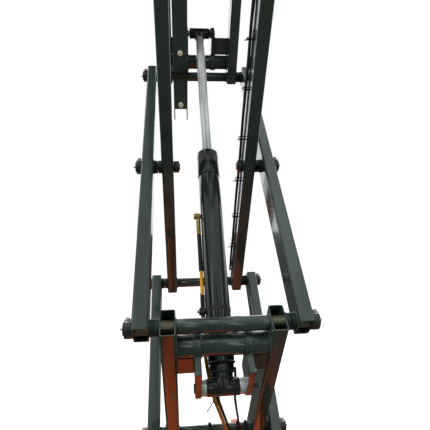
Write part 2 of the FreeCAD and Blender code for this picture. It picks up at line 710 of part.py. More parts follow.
make_tank()
make_valve_block()
make_motor()


# --------------------------------------------------------------------------------------- platform

FRAME_BOTTOM = TOP_PIVOT + value("dim.track_room + dim.track_flange - 1")
FRAME_TOP = FRAME_BOTTOM + value("dim.member_size")
RAIL_OUT_Y = value("dim.platform_rail_centre")
PLATFORM_RAIL_IN = RAIL_OUT_Y - value("dim.platform_rail_wide / 2")
for side_name, side in SIDES:
    make_rail(f"platform_rail_{side_name}", (0, side * RAIL_OUT_Y, (FRAME_BOTTOM + FRAME_TOP) / 2),
              "dim.frame_long - 2 * dim.skirt_thick - 1", "dim.platform_rail_wide", "dim.member_size")
make_cross_members("platform_cross_members", PLATFORM_RAIL_IN, FRAME_BOTTOM,
                   value("dim.platform_member_end"))
PLATFORM_CHEEK_IN, PLATFORM_CHEEK_OUT = INNER_IN - 20, INNER_OUT + 8
make_brackets("platform_brackets", Vector(START, 0, TOP_PIVOT), FRAME_BOTTOM, PLATFORM_CHEEK_IN,
              PLATFORM_CHEEK_OUT)


def make_platform_pins():
    """The pins that hang the platform on the upper inner frame."""
    pins = []
    outside = PLATFORM_CHEEK_OUT + value("dim.cheek_thick")
    for side_name, side in SIDES:
        spans = [(PLATFORM_CHEEK_IN - 6, outside + 12, PIN, 0), (outside + 0.5, outside + 12, 24, 0)]
        pins.append(ring_piece(f"platform_pin_{side_name}", spans, side, BOTTOM))
    finish("platform_pivot_pins", collect("platform_pins", pins), frame_place("inner", 2))


def make_deck():
    """The deck plate with its edges turned down past the frame."""
    thick, tall = value("dim.deck_thick"), value("dim.skirt_tall")
    outside = block("deck_outside", "dim.frame_long", "dim.deck_wide", "dim.skirt_tall",
                    (0, 0, FRAME_TOP + thick - tall / 2))
    inside = block("deck_inside", "dim.frame_long - 2 * dim.skirt_thick",
                   "dim.deck_wide - 2 * dim.skirt_thick", "dim.skirt_tall", (0, 0, FRAME_TOP - tall / 2))
    finish("platform_deck", cut("deck_cut", outside, [inside]))


make_platform_pins()
make_deck()


# ------------------------------------------------------------------------------------ safety prop

def make_safety_prop():
    """A channel that hangs by two ears from the upper inner frame's middle tube.

    Its lower end is a fork: the web stops short and the two flanges run on.
    """
    low, thick = value("dim.prop_inside"), value("dim.prop_plate")
    high, ear_thick = low + value("dim.prop_wide"), 8
    web_off, flange_deep = value("dim.prop_off"), value("dim.prop_flange")
    start, web_end, fork_end = (value(f"dim.prop_{end}") for end in ("start", "web_end", "fork_end"))
    web = block("prop_web", "dim.prop_web_end - dim.prop_start", "dim.prop_wide", "dim.prop_plate",
                ((start + web_end) / 2, (low + high) / 2, web_off + thick / 2))
    flanges = [
        block(f"prop_flange_{number}", "dim.prop_fork_end - dim.prop_start", "dim.prop_plate",
              "dim.prop_flange", ((start + fork_end) / 2, edge, web_off + flange_deep / 2))
        for number, edge in enumerate((low + thick / 2, high - thick / 2))
    ]
    ears = []
    for number, edge in enumerate((low + thick + 5, high - thick - 5)):
        ears.append(drum(f"prop_ear_ring_{number}", "36", f"{ear_thick}", (0, edge - ear_thick / 2, 0)))
        plate = block(f"prop_ear_{number}", "112", f"{ear_thick}", "88", (36, edge, web_off + thick + 34))
        room = block(f"prop_ear_room_{number}", "90", f"{ear_thick + 2}", "60", (61, edge, -24))
        ears.append(cut(f"prop_ear_trim_{number}", plate, [room]))
    bore = drum("prop_bore", "dim.tube_radius + dim.pin_play", "80", (0, low, 0))
    finish("safety_prop", cut("prop_cut", fuse("prop_body", [web] + flanges + ears), [bore]),
           frame_place("inner", 2))


make_safety_prop()


# -------------------------------------------------------------------------------- hoses and cables

def hose_path(points):
    """Straight runs joined by tangent arcs.  Returns the wire and the arcs' radii."""
    edges, radii = [], []
    last = points[0]
    for before, corner, after in zip(points, points[1:], points[2:]):
        arriving, leaving = (corner - before), (after - corner)
        shorter = min(arriving.Length, leaving.Length)
        arriving.normalize()
        leaving.normalize()
        half_turn = arriving.getAngle(leaving) / 2
        if half_turn < 1e-3:
            continue
        trim = 0.45 * shorter
        radius = trim / math.tan(half_turn)
        radii.append(radius)
        first, second = corner - arriving * trim, corner + leaving * trim
        bisector = (leaving - arriving).normalize()
        centre = corner + bisector * (radius / math.cos(half_turn))
        summit = centre - bisector * radius
        edges.append(Part.LineSegment(last, first).toShape())
        edges.append(Part.Arc(first, summit, second).toShape())
        last = second
    edges.append(Part.LineSegment(last, points[-1]).toShape())
    return Part.Wire(edges), radii


def hose(name, radius, points):
    """A round hose along a route."""
    wire, radii = hose_path(points)
    start = points[1] - points[0]
    section = Part.Wire([Part.makeCircle(value(radius), points[0], start)])
    shape = wire.makePipeShell([section], True, True)
    wanted = math.pi * value(radius) ** 2 * wire.Length
    print(f"{name}: length {wire.Length:.0f}, least radius {min(radii):.0f}, "
          f"volume {shape.Volume / wanted:.4f} of section times length")
    item = doc.addObject("Part::Feature", name)
    item.Shape = shape
    return item


def on_cylinder(up, out, back):
    """A point by the barrel: distance from the base pin, to the left, and to the far side."""
    return CYLINDER.multVec(Vector(0, out, up)) + FAR_SIDE * back


FAR_SIDE = STROKE_LINE.cross(ACROSS).normalize()
if FAR_SIDE.x < 0:
    FAR_SIDE = FAR_SIDE * -1
TIE_TUBE = in_world("inner", 0, MIDDLE, 0, 0)
JOIN_GAP = 0.5


def carried_on(points, lead=16):
    """The first two points of a hose that goes on where another ends, in the same direction."""
    heading = (points[-1] - points[-2]).normalize()
    return [points[-1] + heading * JOIN_GAP, points[-1] + heading * (JOIN_GAP + lead)]


def round_tie_tube(across, radius):
    """Points down the near side of the lower middle tube, clear of it by a hose's radius."""
    clear = value("dim.tube_radius") + radius + 4
    return [Vector(TIE_TUBE.x - clear, across, TIE_TUBE.z + 4),
            Vector(TIE_TUBE.x - clear - 3, across - 12, TIE_TUBE.z - 22)]


def pressure_route():
    """From the fitting down the barrel's left side, behind its base eye and across to the middle tube."""
    return [
        on_cylinder(ELBOW_UP - ELBOW_DOWN - JOIN_GAP, ELBOW_OUT, 0), on_cylinder(488, 54, 1),
        on_cylinder(330, 53, 2), on_cylinder(190, 54, 6), on_cylinder(90, 53, 24),
        Vector(-649, 28, 1001), Vector(-550, 4, 913), Vector(-450, -20, 824), Vector(-351, -43, 736),
    ] + round_tie_tube(-58, value("dim.hose_radius"))


def return_route():
    """The return hose joins the pressure hose half way down the barrel and stays beside it."""
    return [
        on_cylinder(330, 55, 24), on_cylinder(190, 56, 28), on_cylinder(90, 53, 46),
        Vector(-640, 15, 998), Vector(-541, -9, 911), Vector(-443, -33, 823), Vector(-344, -57, 734),
    ] + round_tie_tube(-73, value("dim.return_radius"))


def cable_route():
    """The valve cable: out from behind the base eye's right side to the middle tube's right end."""
    return [
        on_cylinder(60, -47, 14), on_cylinder(20, -48, 34), Vector(-646, -46, 997), Vector(-547, -65, 908),
        Vector(-448, -84, 819), Vector(-349, -103, 731),
    ] + round_tie_tube(-112, value("dim.cable_radius"))


def arm_route(before, gap_y, off):
    """From the middle tube under the inner arm, and down inside the outer arm to its lower end."""
    start, lead = carried_on(before)
    return [
        start, lead, in_world("inner", 0, 48, start.y - 30, -58), in_world("inner", 0, 62, -166, -78),
        in_world("inner", 0, 74, -204, -84),
        in_world("outer", 0, -150, gap_y, off), in_world("outer", 0, -330, gap_y, off + 2),
        in_world("outer", 0, -500, gap_y, off), in_world("outer", 0, BOTTOM + 200, gap_y + 20, off - 14),
    ]


def base_route(before, port_height):
    """From the outer arm's lower end down to the valve block's port."""
    start, lead = carried_on(before)
    return [
        start, lead, start + Vector(6, 60, -66), Vector(-510, -146, port_height + 60),
        Vector(-440, -142, port_height + 16), Vector(HOSE_PORT_X - 18, -128, port_height + 1),
        Vector(HOSE_PORT_X, HOSE_PORT_Y - 30, port_height),
        Vector(HOSE_PORT_X, HOSE_PORT_Y - JOIN_GAP, port_height),
    ]


PRESSURE, RETURN = pressure_route(), return_route()
PRESSURE_ARM = arm_route(PRESSURE, -226, -24)
RETURN_ARM = arm_route(RETURN, -227, -8)
finish("cylinder_hoses", collect("cylinder_hose_group", [
    hose("pressure_hose_upper", "dim.hose_radius", PRESSURE),
    hose("return_hose_upper", "dim.return_radius", RETURN),
    hose("valve_cable", "dim.cable_radius", cable_route()),
]))
finish("arm_hoses", collect("arm_hose_group", [
    hose("pressure_hose_middle", "dim.hose_radius", PRESSURE_ARM),
    hose("return_hose_middle", "dim.return_radius", RETURN_ARM),
]))
finish("base_hoses", collect("base_hose_group", [
    hose("pressure_hose_lower", "dim.hose_radius", base_route(PRESSURE_ARM, HOSE_PORT_LOW)),
    hose("return_hose_lower", "dim.return_radius", base_route(RETURN_ARM, HOSE_PORT_HIGH)),
]))


def arm_cable(name, radius, edge, end):
    """A cable tied along the middle inner frame's right arm, close to the arm's upper edge."""
    beside = -INNER_IN + value(radius) + 0.6
    wave = 3.0
    stations = (-end, -end + 80, -440, -230, -20, 190, 400, end - 80, end)
    return hose(name, radius, [
        in_world("inner", 1, along, beside + wave * (number % 2), edge)
        for number, along in enumerate(stations)
    ])


finish("control_cables", collect("control_cable_group", [
    arm_cable("control_cable", "dim.cable_radius", 42, 690),
    arm_cable("sensor_cable", "dim.cable_radius - 1", 33, 650),
]))


# ------------------------------------------------------------------------------- check and export

doc.recompute()
faults = [item.Label for item in doc.Objects if {"Invalid", "Error"} & set(item.State)]
for item in nodes:
    if item.Shape.isNull() or not item.Shape.isValid() or not item.Shape.Solids:
        faults.append(f"{item.Label} (shape)")
if faults:
    raise RuntimeError("failed objects: " + ", ".join(faults))
if len(nodes) > 60 or len({item.Label for item in nodes}) != len(nodes):
    raise RuntimeError(f"{len(nodes)} nodes, or a name used twice")
for item in nodes:
    item.Shape.exportStep(f"parts/{item.Label}.step")
print(f"{len(nodes)} nodes, cylinder pin to pin {CYLINDER_LONG:.1f}, stage {STAGE_LONG:.1f} x {STAGE_TALL:.1f}")
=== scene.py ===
"""Looks of the three-stage scissor lift table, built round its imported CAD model.

Metres, +Z up, +X from the fixed pivots to the rollers, +Y to the left.
"""
import json
import math
import random

import bmesh
import bpy
from mathutils import Matrix, Vector

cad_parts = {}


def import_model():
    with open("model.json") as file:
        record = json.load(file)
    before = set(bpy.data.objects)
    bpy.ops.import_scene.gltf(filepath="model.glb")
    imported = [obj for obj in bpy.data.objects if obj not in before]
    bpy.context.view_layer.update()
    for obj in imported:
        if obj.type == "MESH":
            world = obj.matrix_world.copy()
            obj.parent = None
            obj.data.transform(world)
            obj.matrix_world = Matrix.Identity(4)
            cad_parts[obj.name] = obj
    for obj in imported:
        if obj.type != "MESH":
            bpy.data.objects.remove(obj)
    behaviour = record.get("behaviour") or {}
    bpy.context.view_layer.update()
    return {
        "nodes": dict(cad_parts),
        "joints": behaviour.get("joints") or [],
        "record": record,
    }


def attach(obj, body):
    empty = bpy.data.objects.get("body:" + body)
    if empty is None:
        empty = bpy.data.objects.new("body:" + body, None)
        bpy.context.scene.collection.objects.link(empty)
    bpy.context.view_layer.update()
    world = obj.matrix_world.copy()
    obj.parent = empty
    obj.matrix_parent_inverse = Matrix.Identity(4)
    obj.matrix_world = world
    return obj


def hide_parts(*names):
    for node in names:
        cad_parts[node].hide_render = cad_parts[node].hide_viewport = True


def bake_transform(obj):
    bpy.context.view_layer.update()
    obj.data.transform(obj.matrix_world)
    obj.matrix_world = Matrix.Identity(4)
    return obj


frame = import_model()
MM = 0.001

# ----------------------------------------------------------------------------- places in the frame

JOINTS = {joint["name"]: joint for joint in frame["joints"]}


def pivot(joint):
    return Vector(JOINTS[joint]["pos_m"])


ROD_PIN_UP = 1.7814


def upper_rod_pin():
    """The rod eye's pin, up the raised cylinder from its base pin."""
    return pivot("cylinder_pivot") + Vector(JOINTS["rod_slide"]["axis"]) * ROD_PIN_UP


STAGES = ("lower", "middle", "upper")
SIDES = (("left", 1), ("right", -1))
MIDDLES = {stage: pivot(f"{stage}_cross") for stage in STAGES}
HALF_ARM = (MIDDLES["lower"] - pivot("lift")).length
SLOPE = math.asin((MIDDLES["lower"] - pivot("lift")).z / HALF_ARM)
INNER_IN, INNER_OUT = 0.151, 0.201
OUTER_IN, OUTER_OUT = 0.235, 0.285
TUBE_RADIUS, LUG_TUBE_RADIUS = 0.02415, 0.0365
LUG_TUBE_ALONG, LUG_TUBE_OFF = 0.074, 0.021
END_TUBE_ALONG = 0.110
BOSS_WELD_RADIUS = 0.0282
LOWER_LUG_IN, UPPER_LUG_IN, LUG_THICK = 0.073, 0.062, 0.020
STIFFENER_REACH, STIFFENER_FACES = (0.037, 0.122), (0.0352, 0.0448)


def arm_frame(kind, stage):
    """Outer frames climb towards +X and inner frames towards -X; each is drawn flat along X."""
    turn = -SLOPE if kind == "outer" else SLOPE
    return Matrix.Translation(MIDDLES[stage]) @ Matrix.Rotation(turn, 4, "Y")


def on_arm(kind, stage, along, across, off):
    return arm_frame(kind, stage) @ Vector((along, across, off))


def cylinder_frame():
    """Origin at the base pin, Z up the barrel, Y to the left, X to the far side."""
    up = Vector(JOINTS["rod_slide"]["axis"])
    left = Vector((0, 1, 0))
    far = left.cross(up)
    turn = Matrix((far, left, up)).transposed().to_4x4()
    return Matrix.Translation(pivot("cylinder_pivot")) @ turn


CYLINDER = cylinder_frame()


def on_cylinder(up, out, back):
    return CYLINDER @ Vector((back, out, up))


def facing(centre, direction, turn=0.0):
    """A matrix at a centre whose Z runs along a direction."""
    quaternion = Vector(direction).to_track_quat("Z", "Y")
    return Matrix.Translation(centre) @ quaternion.to_matrix().to_4x4() @ Matrix.Rotation(turn, 4, "Z")


# -------------------------------------------------------------------------- camera, light and floor

CAMERA_AT = Vector((-1.993, 0.1335, 1.600))
CAMERA_YAW, CAMERA_PITCH, CAMERA_ROLL = -0.0935, 0.0216, -0.0242
CAMERA_LENS = 32.39


def make_camera():
    ahead = Vector((math.cos(CAMERA_YAW) * math.cos(CAMERA_PITCH),
                    math.sin(CAMERA_YAW) * math.cos(CAMERA_PITCH), math.sin(CAMERA_PITCH)))
    level = Vector((math.sin(CAMERA_YAW), -math.cos(CAMERA_YAW), 0))
    above = level.cross(ahead)
    right = level * math.cos(CAMERA_ROLL) + above * math.sin(CAMERA_ROLL)
    up = above * math.cos(CAMERA_ROLL) - level * math.sin(CAMERA_ROLL)
    data = bpy.data.cameras.new("camera")
    data.lens = CAMERA_LENS
    data.sensor_width = 36
    data.clip_start, data.clip_end = 0.05, 200
    camera = bpy.data.objects.new("camera", data)
    camera.matrix_world = Matrix.Translation(CAMERA_AT) @ Matrix(
        (right, up, -ahead)).transposed().to_4x4()
    bpy.context.scene.collection.objects.link(camera)
    bpy.context.scene.camera = camera


def make_area_light(name, at, target, size, power, colour=(1, 1, 1)):
    data = bpy.data.lights.new(name, "AREA")
    data.shape = "RECTANGLE"
    data.size, data.size_y = size
    data.energy = power
    data.color = colour
    light = bpy.data.objects.new(name, data)
    light.visible_glossy = False
    light.matrix_world = facing(at, Vector(at) - Vector(target))
    bpy.context.scene.collection.objects.link(light)


def make_world():
    """A white studio: what the camera sees past the lift is plain white.

    The paint and the rod mirror a hall round it: bright past the lift, dim behind the camera, with
    tall windows to both sides.
    """
    world = bpy.data.worlds.new("studio")
    world.use_nodes = True
    tree = world.node_tree

    def node(kind, **inputs):
        made = tree.nodes.new(kind)
        for label, source in inputs.items():
            tree.links.new(source, made.inputs[label])
        return made

    def measure(operation, first, second):
        made = node("ShaderNodeMath")
        made.operation = operation
        tree.links.new(first, made.inputs[0])
        tree.links.new(second, made.inputs[1])
        return made.outputs[0]

    def scaled(source, low, high):
        made = node("ShaderNodeMapRange", Value=source)
        made.inputs["From Min"].default_value, made.inputs["From Max"].default_value = low, high
        return made.outputs[0]

    def bands(source, stops):
        made = node("ShaderNodeValToRGB", Fac=source)
        elements = made.color_ramp.elements
        while len(elements) < len(stops):
            elements.new(0.5)
        for element, (position, grey) in zip(elements, stops):
            element.position, element.color = position, (0.97 * grey, grey, grey, 1)
        return made.outputs["Color"]

    def choose(factor, first, second=None):
        made = node("ShaderNodeMix")
        made.data_type = "RGBA"
        made.inputs[7].default_value = (1, 1, 1, 1)
        tree.links.new(factor, made.inputs[0])
        tree.links.new(first, made.inputs[6])
        if second:
            tree.links.new(second, made.inputs[7])
        return made.outputs[2]

    place = node("ShaderNodeTexCoord")
    split = node("ShaderNodeSeparateXYZ", Vector=place.outputs["Generated"]).outputs
    windows = bands(scaled(measure("ARCTAN2", split["Y"], split["X"]), -math.pi, math.pi), (
        (0.0, 0.10), (0.030, 0.10), (0.036, 0.75), (0.052, 0.75), (0.058, 0.14), (0.125, 0.16),
        (0.130, 1.0), (0.150, 1.0), (0.156, 0.20), (0.235, 0.28), (0.300, 0.85), (0.500, 1.1),
        (0.700, 0.85), (0.780, 0.28), (0.850, 0.18), (0.856, 1.1), (0.885, 1.1), (0.890, 0.13),
        (0.935, 0.10), (0.940, 0.8), (0.950, 0.8), (0.956, 0.10), (1.0, 0.10)))
    ceiling = bands(scaled(measure("DIVIDE", split["Y"], split["Z"]), -1, 1), (
        (0.0, 0.35), (0.330, 0.35), (0.345, 0.55), (0.405, 0.55), (0.420, 0.24), (0.485, 0.22),
        (0.495, 0.95), (0.520, 0.95), (0.530, 0.30), (0.640, 0.26), (0.660, 0.8), (0.720, 0.8),
        (0.740, 0.30), (1.0, 0.35)))
    hall = choose(scaled(split["Z"], 0.50, 0.62), windows, ceiling)
    seen = node("ShaderNodeLightPath").outputs["Is Camera Ray"]
    tree.links.new(choose(seen, hall), tree.nodes["Background"].inputs["Color"])
    bpy.context.scene.world = world
    bpy.context.scene.view_settings.view_transform = "Standard"


# ------------------------------------------------------------------------------------- materials

class Look:
    """A node material under construction."""

    def __init__(self, name, **settings):
        self.material = bpy.data.materials.new(name)
        self.material.use_nodes = True
        self.tree = self.material.node_tree
        self.shader = self.tree.nodes["Principled BSDF"]
        self.place = self.node("ShaderNodeTexCoord").outputs["Object"]
        for label, amount in settings.items():
            self.shader.inputs[label.replace("_", " ")].default_value = amount

    def node(self, kind, **inputs):
        made = self.tree.nodes.new(kind)
        for label, source in inputs.items():
            socket = made.inputs[label]
            if isinstance(source, bpy.types.NodeSocket):
                self.tree.links.new(source, socket)
            else:
                socket.default_value = source
        return made

    def noise(self, scale, detail=3.0, roughness=0.5, stretch=None, distortion=0.0):
        where = self.place
        if stretch:
            where = self.node("ShaderNodeMapping", Vector=where, Scale=stretch).outputs[0]
        return self.node("ShaderNodeTexNoise", Vector=where, Scale=scale, Detail=detail,
                         Roughness=roughness, Distortion=distortion).outputs["Fac"]

    def ramp(self, factor, *stops):
        made = self.node("ShaderNodeValToRGB", Fac=factor)
        elements = made.color_ramp.elements
        while len(elements) < len(stops):
            elements.new(0.5)
        for element, (position, colour) in zip(elements, stops):
            element.position = position
            grey = not isinstance(colour, tuple)
            element.color = (colour, colour, colour, 1) if grey else (*colour, 1)
        return made.outputs["Color"]

    def mix(self, factor, first, second):
        made = self.tree.nodes.new("ShaderNodeMix")
        made.data_type = "RGBA"
        for socket, source in zip((made.inputs[0], made.inputs[6], made.inputs[7]),
                                  (factor, first, second)):
            if isinstance(source, bpy.types.NodeSocket):
                self.tree.links.new(source, socket)
            else:
                socket.default_value = (*source, 1) if isinstance(source, tuple) else source
        return made.outputs[2]

    def maths(self, operation, first, second=0.0):
        made = self.tree.nodes.new("ShaderNodeMath")
        made.operation = operation
        for socket, source in zip(made.inputs, (first, second)):
            if isinstance(source, bpy.types.NodeSocket):
                self.tree.links.new(source, socket)
            else:
                socket.default_value = source
        return made.outputs[0]

    def bump(self, height, distance, strength=1.0):
        made = self.node("ShaderNodeBump", Height=height, Distance=distance, Strength=strength)
        if self.shader.inputs["Normal"].is_linked:
            before = self.shader.inputs["Normal"].links[0].from_socket
            self.tree.links.new(before, made.inputs["Normal"])
        self.tree.links.new(made.outputs[0], self.shader.inputs["Normal"])

    def give(self, label, source):
        self.tree.links.new(source, self.shader.inputs[label])


PAINT_DARK, PAINT_LIGHT = (0.009, 0.020, 0.015), (0.018, 0.037, 0.030)


def painted(name, dark, light, rough=(0.16, 0.34), dust=0.10, peel=0.00012, wear=(0.40, 0.42, 0.40),
            coat=1.9, gloss=0.09):
    """Gloss paint: uneven tone, orange peel, fine scratches, thin dust where it looks up."""
    look = Look(name, Specular_IOR_Level=0.5, Coat_Weight=1.0, Coat_IOR=coat, Coat_Roughness=gloss)
    broad, fine = look.noise(2.6, 4), look.noise(90, 3)
    tone = look.ramp(broad, (0.3, dark), (0.7, light))
    scratch = look.ramp(look.noise(60, 2, 0.6, (1, 9, 1), 1.5), (0.70, 0.0), (0.735, 1.0))
    patches = look.ramp(look.noise(7, 5, 0.65), (0.60, 0.0), (0.70, 1.0))
    nicks = look.maths("MULTIPLY", scratch, patches)
    tone = look.mix(look.maths("MULTIPLY", nicks, 0.35), tone, wear)
    normal = look.node("ShaderNodeTexCoord").outputs["Normal"]
    upward = look.node("ShaderNodeSeparateXYZ", Vector=normal).outputs["Z"]
    film = look.ramp(upward, (0.55, 0.0), (1.0, 1.0))
    film = look.maths("MULTIPLY", film, look.ramp(look.noise(11, 6, 0.7), (0.35, 0.15), (0.75, 1.0)))
    tone = look.mix(look.maths("MULTIPLY", film, dust), tone, (0.36, 0.35, 0.32))
    look.give("Base Color", tone)
    rough_now = look.ramp(look.noise(14, 5, 0.6), (0.3, rough[0]), (0.75, rough[1]))
    look.give("Roughness", look.maths("ADD", rough_now, look.maths("MULTIPLY", film, 0.3 * dust)))
    look.bump(look.noise(16, 2), 0.0006, 0.5)
    look.bump(fine, peel, 0.6)
    look.bump(look.noise(520, 2), peel, 0.5)
    return look.material


def metal(name, dark, light, rough=(0.2, 0.4), stretch=(1, 1, 1), grain=260, stain=0.0, painted=None,
          metallic=1.0):
    """Bare or plated steel with a directional grain and stains.

    painted gives the two distances from the table's middle between which it is painted over.
    """
    look = Look(name, Metallic=metallic)
    tone = look.ramp(look.noise(grain, 4, 0.6, stretch), (0.3, dark), (0.7, light))
    spots = look.ramp(look.noise(34, 5, 0.7), (0.56, 0.0), (0.68, 1.0))
    tone = look.mix(look.maths("MULTIPLY", spots, stain), tone, (0.16, 0.11, 0.06))
    roughness = look.ramp(look.noise(grain / 3, 4, 0.6, stretch), (0.3, rough[0]), (0.7, rough[1]))
    if painted:
        across = look.node("ShaderNodeSeparateXYZ", Vector=look.place).outputs["Y"]
        across = look.maths("ABSOLUTE", across)
        covered = look.maths("MULTIPLY", look.maths("GREATER_THAN", across, painted[0]),
                             look.maths("LESS_THAN", across, painted[1]))
        tone = look.mix(covered, tone, PAINT_DARK)
        roughness = look.mix(covered, roughness, (0.3, 0.3, 0.3))
        look.give("Metallic", look.maths("SUBTRACT", metallic, covered))
    look.give("Base Color", tone)
    look.give("Roughness", roughness)
    look.bump(look.noise(grain, 3, 0.6, stretch), 0.00008, 0.5)
    return look.material


def chromed(name):
    """Ground hard chrome: faint rings round the rod and a thin oil film.

    It is only partly metallic, so that it stays pale where it mirrors dark steel.
    """
    look = Look(name, Metallic=0.55)
    along = look.node("ShaderNodeMapping", Vector=look.place, Rotation=(0, math.pi / 2 - SLOPE, 0))
    rings = look.node("ShaderNodeTexWave", Vector=along.outputs[0], Scale=420.0, Distortion=0.6,
                      Detail=2.0)
    rings.bands_direction = "Z"
    film = look.noise(9, 5, 0.65)
    look.give("Base Color", look.ramp(film, (0.3, (0.72, 0.74, 0.76)), (0.7, (0.86, 0.87, 0.88))))
    look.give("Roughness", look.ramp(film, (0.35, 0.035), (0.75, 0.11)))
    look.bump(rings.outputs["Fac"], 0.000004, 0.6)
    return look.material


def rubber(name, dark, light, rough=(0.4, 0.62)):
    look = Look(name, Specular_IOR_Level=0.4)
    look.give("Base Color", look.ramp(look.noise(40, 4), (0.3, dark), (0.7, light)))
    look.give("Roughness", look.ramp(look.noise(120, 3), (0.3, rough[0]), (0.7, rough[1])))
    look.bump(look.noise(700, 3), 0.00008, 0.7)
    return look.material


def braided(name, yarn, print_colour):
    """Hose cover: a fine wrapped texture, and dashes printed along one side."""
    look = Look(name, Specular_IOR_Level=0.45)
    chart = look.node("ShaderNodeUVMap").outputs[0]
    split = look.node("ShaderNodeSeparateXYZ", Vector=chart)
    along, around = split.outputs["X"], split.outputs["Y"]
    helix = look.maths("ADD", look.maths("MULTIPLY", along, 160.0), look.maths("MULTIPLY", around, 6.0))
    wrap = look.maths("PINGPONG", helix, 0.5)
    cross = look.maths("SUBTRACT", look.maths("MULTIPLY", along, 160.0),
                       look.maths("MULTIPLY", around, 6.0))
    weave = look.maths("MULTIPLY", wrap, look.maths("PINGPONG", cross, 0.5))
    shade = look.ramp(look.noise(30, 4), (0.3, tuple(0.75 * c for c in yarn)), (0.7, yarn))
    shade = look.mix(look.ramp(weave, (0.01, 0.55), (0.09, 0.0)), shade, tuple(0.35 * c for c in yarn))
    dash = look.maths("PINGPONG", look.maths("MULTIPLY", along, 21.0), 0.5)
    band = look.maths("COMPARE", around, 0.78)
    band.node.inputs[2].default_value = 0.075
    mark = look.maths("MULTIPLY", look.ramp(dash, (0.20, 0.0), (0.24, 1.0)), band)
    look.give("Base Color", look.mix(mark, shade, print_colour))
    look.give("Roughness", look.ramp(weave, (0.0, 0.6), (0.2, 0.38)))
    look.bump(weave, 0.0004, 0.7)
    return look.material


PAINT = painted("frame_paint", PAINT_DARK, PAINT_LIGHT)
ORANGE = painted("base_orange", (0.74, 0.105, 0.014), (0.86, 0.15, 0.022), dust=0.1, coat=1.4)
BLACK = painted("cylinder_black", (0.004, 0.007, 0.006), (0.008, 0.012, 0.010), (0.12, 0.22), 0.04,
                coat=1.6, gloss=0.15)
SATIN = painted("tank_black", (0.012, 0.012, 0.012), (0.022, 0.022, 0.022), (0.35, 0.5), 0.2, coat=1.3)
MOTOR = painted("motor_grey", (0.10, 0.115, 0.13), (0.15, 0.165, 0.18), (0.3, 0.5), 0.25, coat=1.3)
PIN_STEEL = painted("pin_steel", (0.010, 0.013, 0.011), (0.022, 0.026, 0.024), (0.2, 0.4), 0.1, coat=1.6)
ZINC = metal("zinc_bush", (0.20, 0.20, 0.13), (0.36, 0.37, 0.27), (0.28, 0.5), stain=0.4,
             painted=(OUTER_IN - 0.0338, OUTER_IN - 0.0002))
BRIGHT = metal("bright_steel", (0.55, 0.56, 0.57), (0.75, 0.76, 0.77), (0.16, 0.32), stain=0.12,
               metallic=0.7)
SPACERS = metal("spacer_rings", (0.60, 0.65, 0.65), (0.80, 0.84, 0.84), (0.12, 0.24), stain=0.1,
                painted=(0.0735, 1.0), metallic=0.6)
ROLLER = metal("roller_steel", (0.38, 0.38, 0.38), (0.55, 0.55, 0.54), (0.25, 0.45), stain=0.3)
BRASS = metal("brass_fitting", (0.58, 0.40, 0.12), (0.80, 0.60, 0.24), (0.2, 0.36), stain=0.1)
ALUMINIUM = metal("valve_aluminium", (0.55, 0.55, 0.56), (0.72, 0.72, 0.73), (0.25, 0.42))
YELLOW_BOLT = metal("yellow_zinc", (0.62, 0.62, 0.44), (0.80, 0.80, 0.62), (0.25, 0.42), metallic=0.25)
DECK_STEEL = metal("deck_steel", (0.46, 0.49, 0.49), (0.66, 0.68, 0.68), (0.3, 0.5), grain=40, stain=0.1,
                   metallic=0.4)
CHROME = chromed("chrome_rod")
RUBBER = rubber("cable_rubber", (0.008, 0.008, 0.009), (0.018, 0.018, 0.02))
PLASTIC = rubber("black_plastic", (0.010, 0.010, 0.011), (0.02, 0.02, 0.022), (0.32, 0.48))
HOSE_ORANGE = braided("pressure_hose", (0.80, 0.37, 0.02), (0.012, 0.010, 0.008))
HOSE_BLACK = braided("return_hose", (0.016, 0.016, 0.016), (0.45, 0.33, 0.03))

SLOT_LOOKS = {
    "frame_paint": PAINT, "base_orange": ORANGE, "zinc_bush": ZINC, "pin_steel": PIN_STEEL,
    "roller_steel": ROLLER, "chrome_rod": CHROME, "cylinder_black": BLACK, "brass_fitting": BRASS,
    "tank_black": SATIN, "valve_aluminium": ALUMINIUM, "motor_grey": MOTOR, "hose_rubber": HOSE_ORANGE,
    "cable_rubber": RUBBER, "deck_steel": DECK_STEEL,
}


NODE_LOOKS = {"cylinder_base_pin": SPACERS, "rod_pin_stubs": BRIGHT}


def dress_cad_nodes():
    """Every CAD node gets its slot's material, and softly broken edges."""
    for entry in frame["record"]["subparts"]:
        item = frame["nodes"][entry["node"]]
        item.data.materials.clear()
        item.data.materials.append(NODE_LOOKS.get(entry["node"], SLOT_LOOKS[entry["material_slot"]]))
        if entry["material_slot"] in ("hose_rubber", "cable_rubber"):
            continue
        weld = item.modifiers.new("weld", "WELD")
        weld.merge_threshold = 0.00002
        bevel = item.modifiers.new("soft_edges", "BEVEL")
        bevel.width, bevel.segments = 0.0010, 2
        bevel.limit_method, bevel.angle_limit = "ANGLE", math.radians(42)
        bevel.harden_normals = True


# --------------------------------------------------------------------------------- mesh building

def finish_piece(name, mesh_data, material, body, crease=35):
    """Turns built mesh data into a piece that rides on a body."""
    mesh = bpy.data.meshes.new(name)
    bmesh.ops.recalc_face_normals(mesh_data, faces=mesh_data.faces)
    mesh_data.to_mesh(mesh)
    mesh_data.free()
    mesh.materials.append(material)
    for face in mesh.polygons:
        face.use_smooth = True
    mesh.set_sharp_from_angle(angle=math.radians(crease))
    piece = bpy.data.objects.new(name, mesh)
    bpy.context.scene.collection.objects.link(piece)
    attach(piece, body)
    return piece


